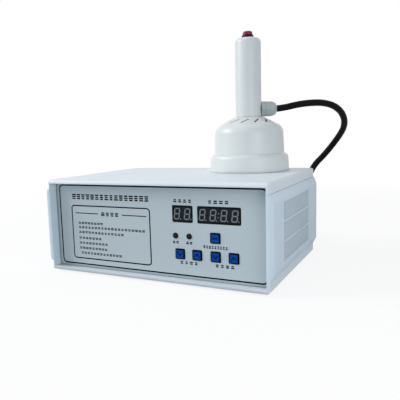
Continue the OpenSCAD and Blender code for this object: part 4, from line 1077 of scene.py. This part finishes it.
nut_length = nut_sections[-1][0]
bore = [
    (nut_length, NUT_BORE_R), (THREAD_DEEP, NUT_BORE_R), (THREAD_DEEP, THREAD_R), (0, THREAD_R),
]
nut_rings = [nut_ring(*section) for section in nut_sections]
nut_rings += [[(u, v, along) for u, v in circle(r, NUT_SIDES)] for along, r in bore]
for node, nose, way in (
    ("head_gland_nut", head_exit, gland_way),
    ("rear_gland_nut", rear_exit, Vector((0, 1, 0))),
):
    shape = bmesh.new()
    add_loft(shape, nut_rings, hollow=True)
    to_way = way.to_track_quat("Z", "Y").to_matrix().to_4x4()
    to_place = Matrix.Translation(nose - nut_length * way) @ to_way
    bmesh.ops.transform(shape, matrix=to_place, verts=shape.verts)
    nut = finish_piece(node + "_dome", shape, finishes["gland_nylon"], "case")
    shade_smooth(nut.data, NUT_SHARP)
    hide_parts(node)
print("gland nuts: %.1f mm long" % nut_length)

print("cord: %.1f mm thick" % LEAD_D)

# %% [markdown]
# ## Trigger spring
# Under the trigger button sits a wire spring with a closed turn at each end. It is a rod along a helix,
# like the lead.

# %% Spring under the button
SPRING_WIRE_R = 0.35
SPRING_STEPS = 28
CLOSED_PITCH = 0.75
OPEN_TURNS = 3
low, high = box_mm("trigger_spring")
axis_x, axis_y = (low.x + high.x) / 2, (low.y + high.y) / 2
spring_r = (high.x - low.x) / 2 - SPRING_WIRE_R
open_pitch = (high.z - low.z - 2 * SPRING_WIRE_R - 2 * CLOSED_PITCH) / OPEN_TURNS
helix = [Vector((axis_x + spring_r, axis_y, low.z + SPRING_WIRE_R))]
for pitch in [CLOSED_PITCH] + [open_pitch] * OPEN_TURNS + [CLOSED_PITCH]:
    foot = helix[-1].z
    for k in range(1, SPRING_STEPS + 1):
        turn = math.tau * k / SPRING_STEPS
        u, v = spring_r * math.cos(turn), spring_r * math.sin(turn)
        helix.append(Vector((axis_x + u, axis_y + v, foot + pitch * k / SPRING_STEPS)))
wire = round_rod("wire", [p * MM for p in helix], SPRING_WIRE_R * MM, finishes["plated_steel"])
spring = add_object("trigger_spring_wire", evaluated_mesh(wire))
bpy.data.objects.remove(wire)
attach(spring, "case")
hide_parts("trigger_spring")
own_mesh(spring)

# %% [markdown]
# ## Rocker marks
# The power switch has the usual bar and ring, pad-printed in white on its two slanting faces. Each mark
# is drawn flat about the origin and then laid on its face by one matrix.

# %% Bar and ring on the rocker
SWITCH_Z, ROCKER_PIVOT_Y = 84, 90.5
# Where the marks are, out from the pivot and up from it, and how far the lower face slants
BAR_OUT, BAR_UP = 3.152, 4.211
RING_OUT, RING_UP = 4.402, -2.879
LOWER_SLANT = math.radians(20)
BAR_HALF_W, BAR_HALF_H = 0.45, 2
RING_R, RING_CORNER_R, RING_W = 2, 1.99, 0.7
rocker_x = middle_of("power_rocker").x
upper_face = Matrix.Translation((rocker_x, ROCKER_PIVOT_Y + BAR_OUT, SWITCH_Z + BAR_UP))
lower_place = Matrix.Translation((rocker_x, ROCKER_PIVOT_Y + RING_OUT, SWITCH_Z + RING_UP))
lower_face = lower_place @ Matrix.Rotation(LOWER_SLANT, 4, "X")
shape = bmesh.new()
add_plate(shape, box_outline(-BAR_HALF_W, -BAR_HALF_H, BAR_HALF_W, BAR_HALF_H), INK_T)
bmesh.ops.transform(shape, matrix=upper_face, verts=shape.verts)
bar_verts = set(shape.verts)
add_frame_line(shape, (0, 0), RING_R, RING_R, RING_CORNER_R, RING_W, INK_T)
ring_verts = [vert for vert in shape.verts if vert not in bar_verts]
bmesh.ops.transform(shape, matrix=lower_face, verts=ring_verts)
rocker_marks = finish_piece("rocker_marks", shape, white_ink, "rocker")
print("rocker marks:", len(rocker_marks.data.polygons), "faces")
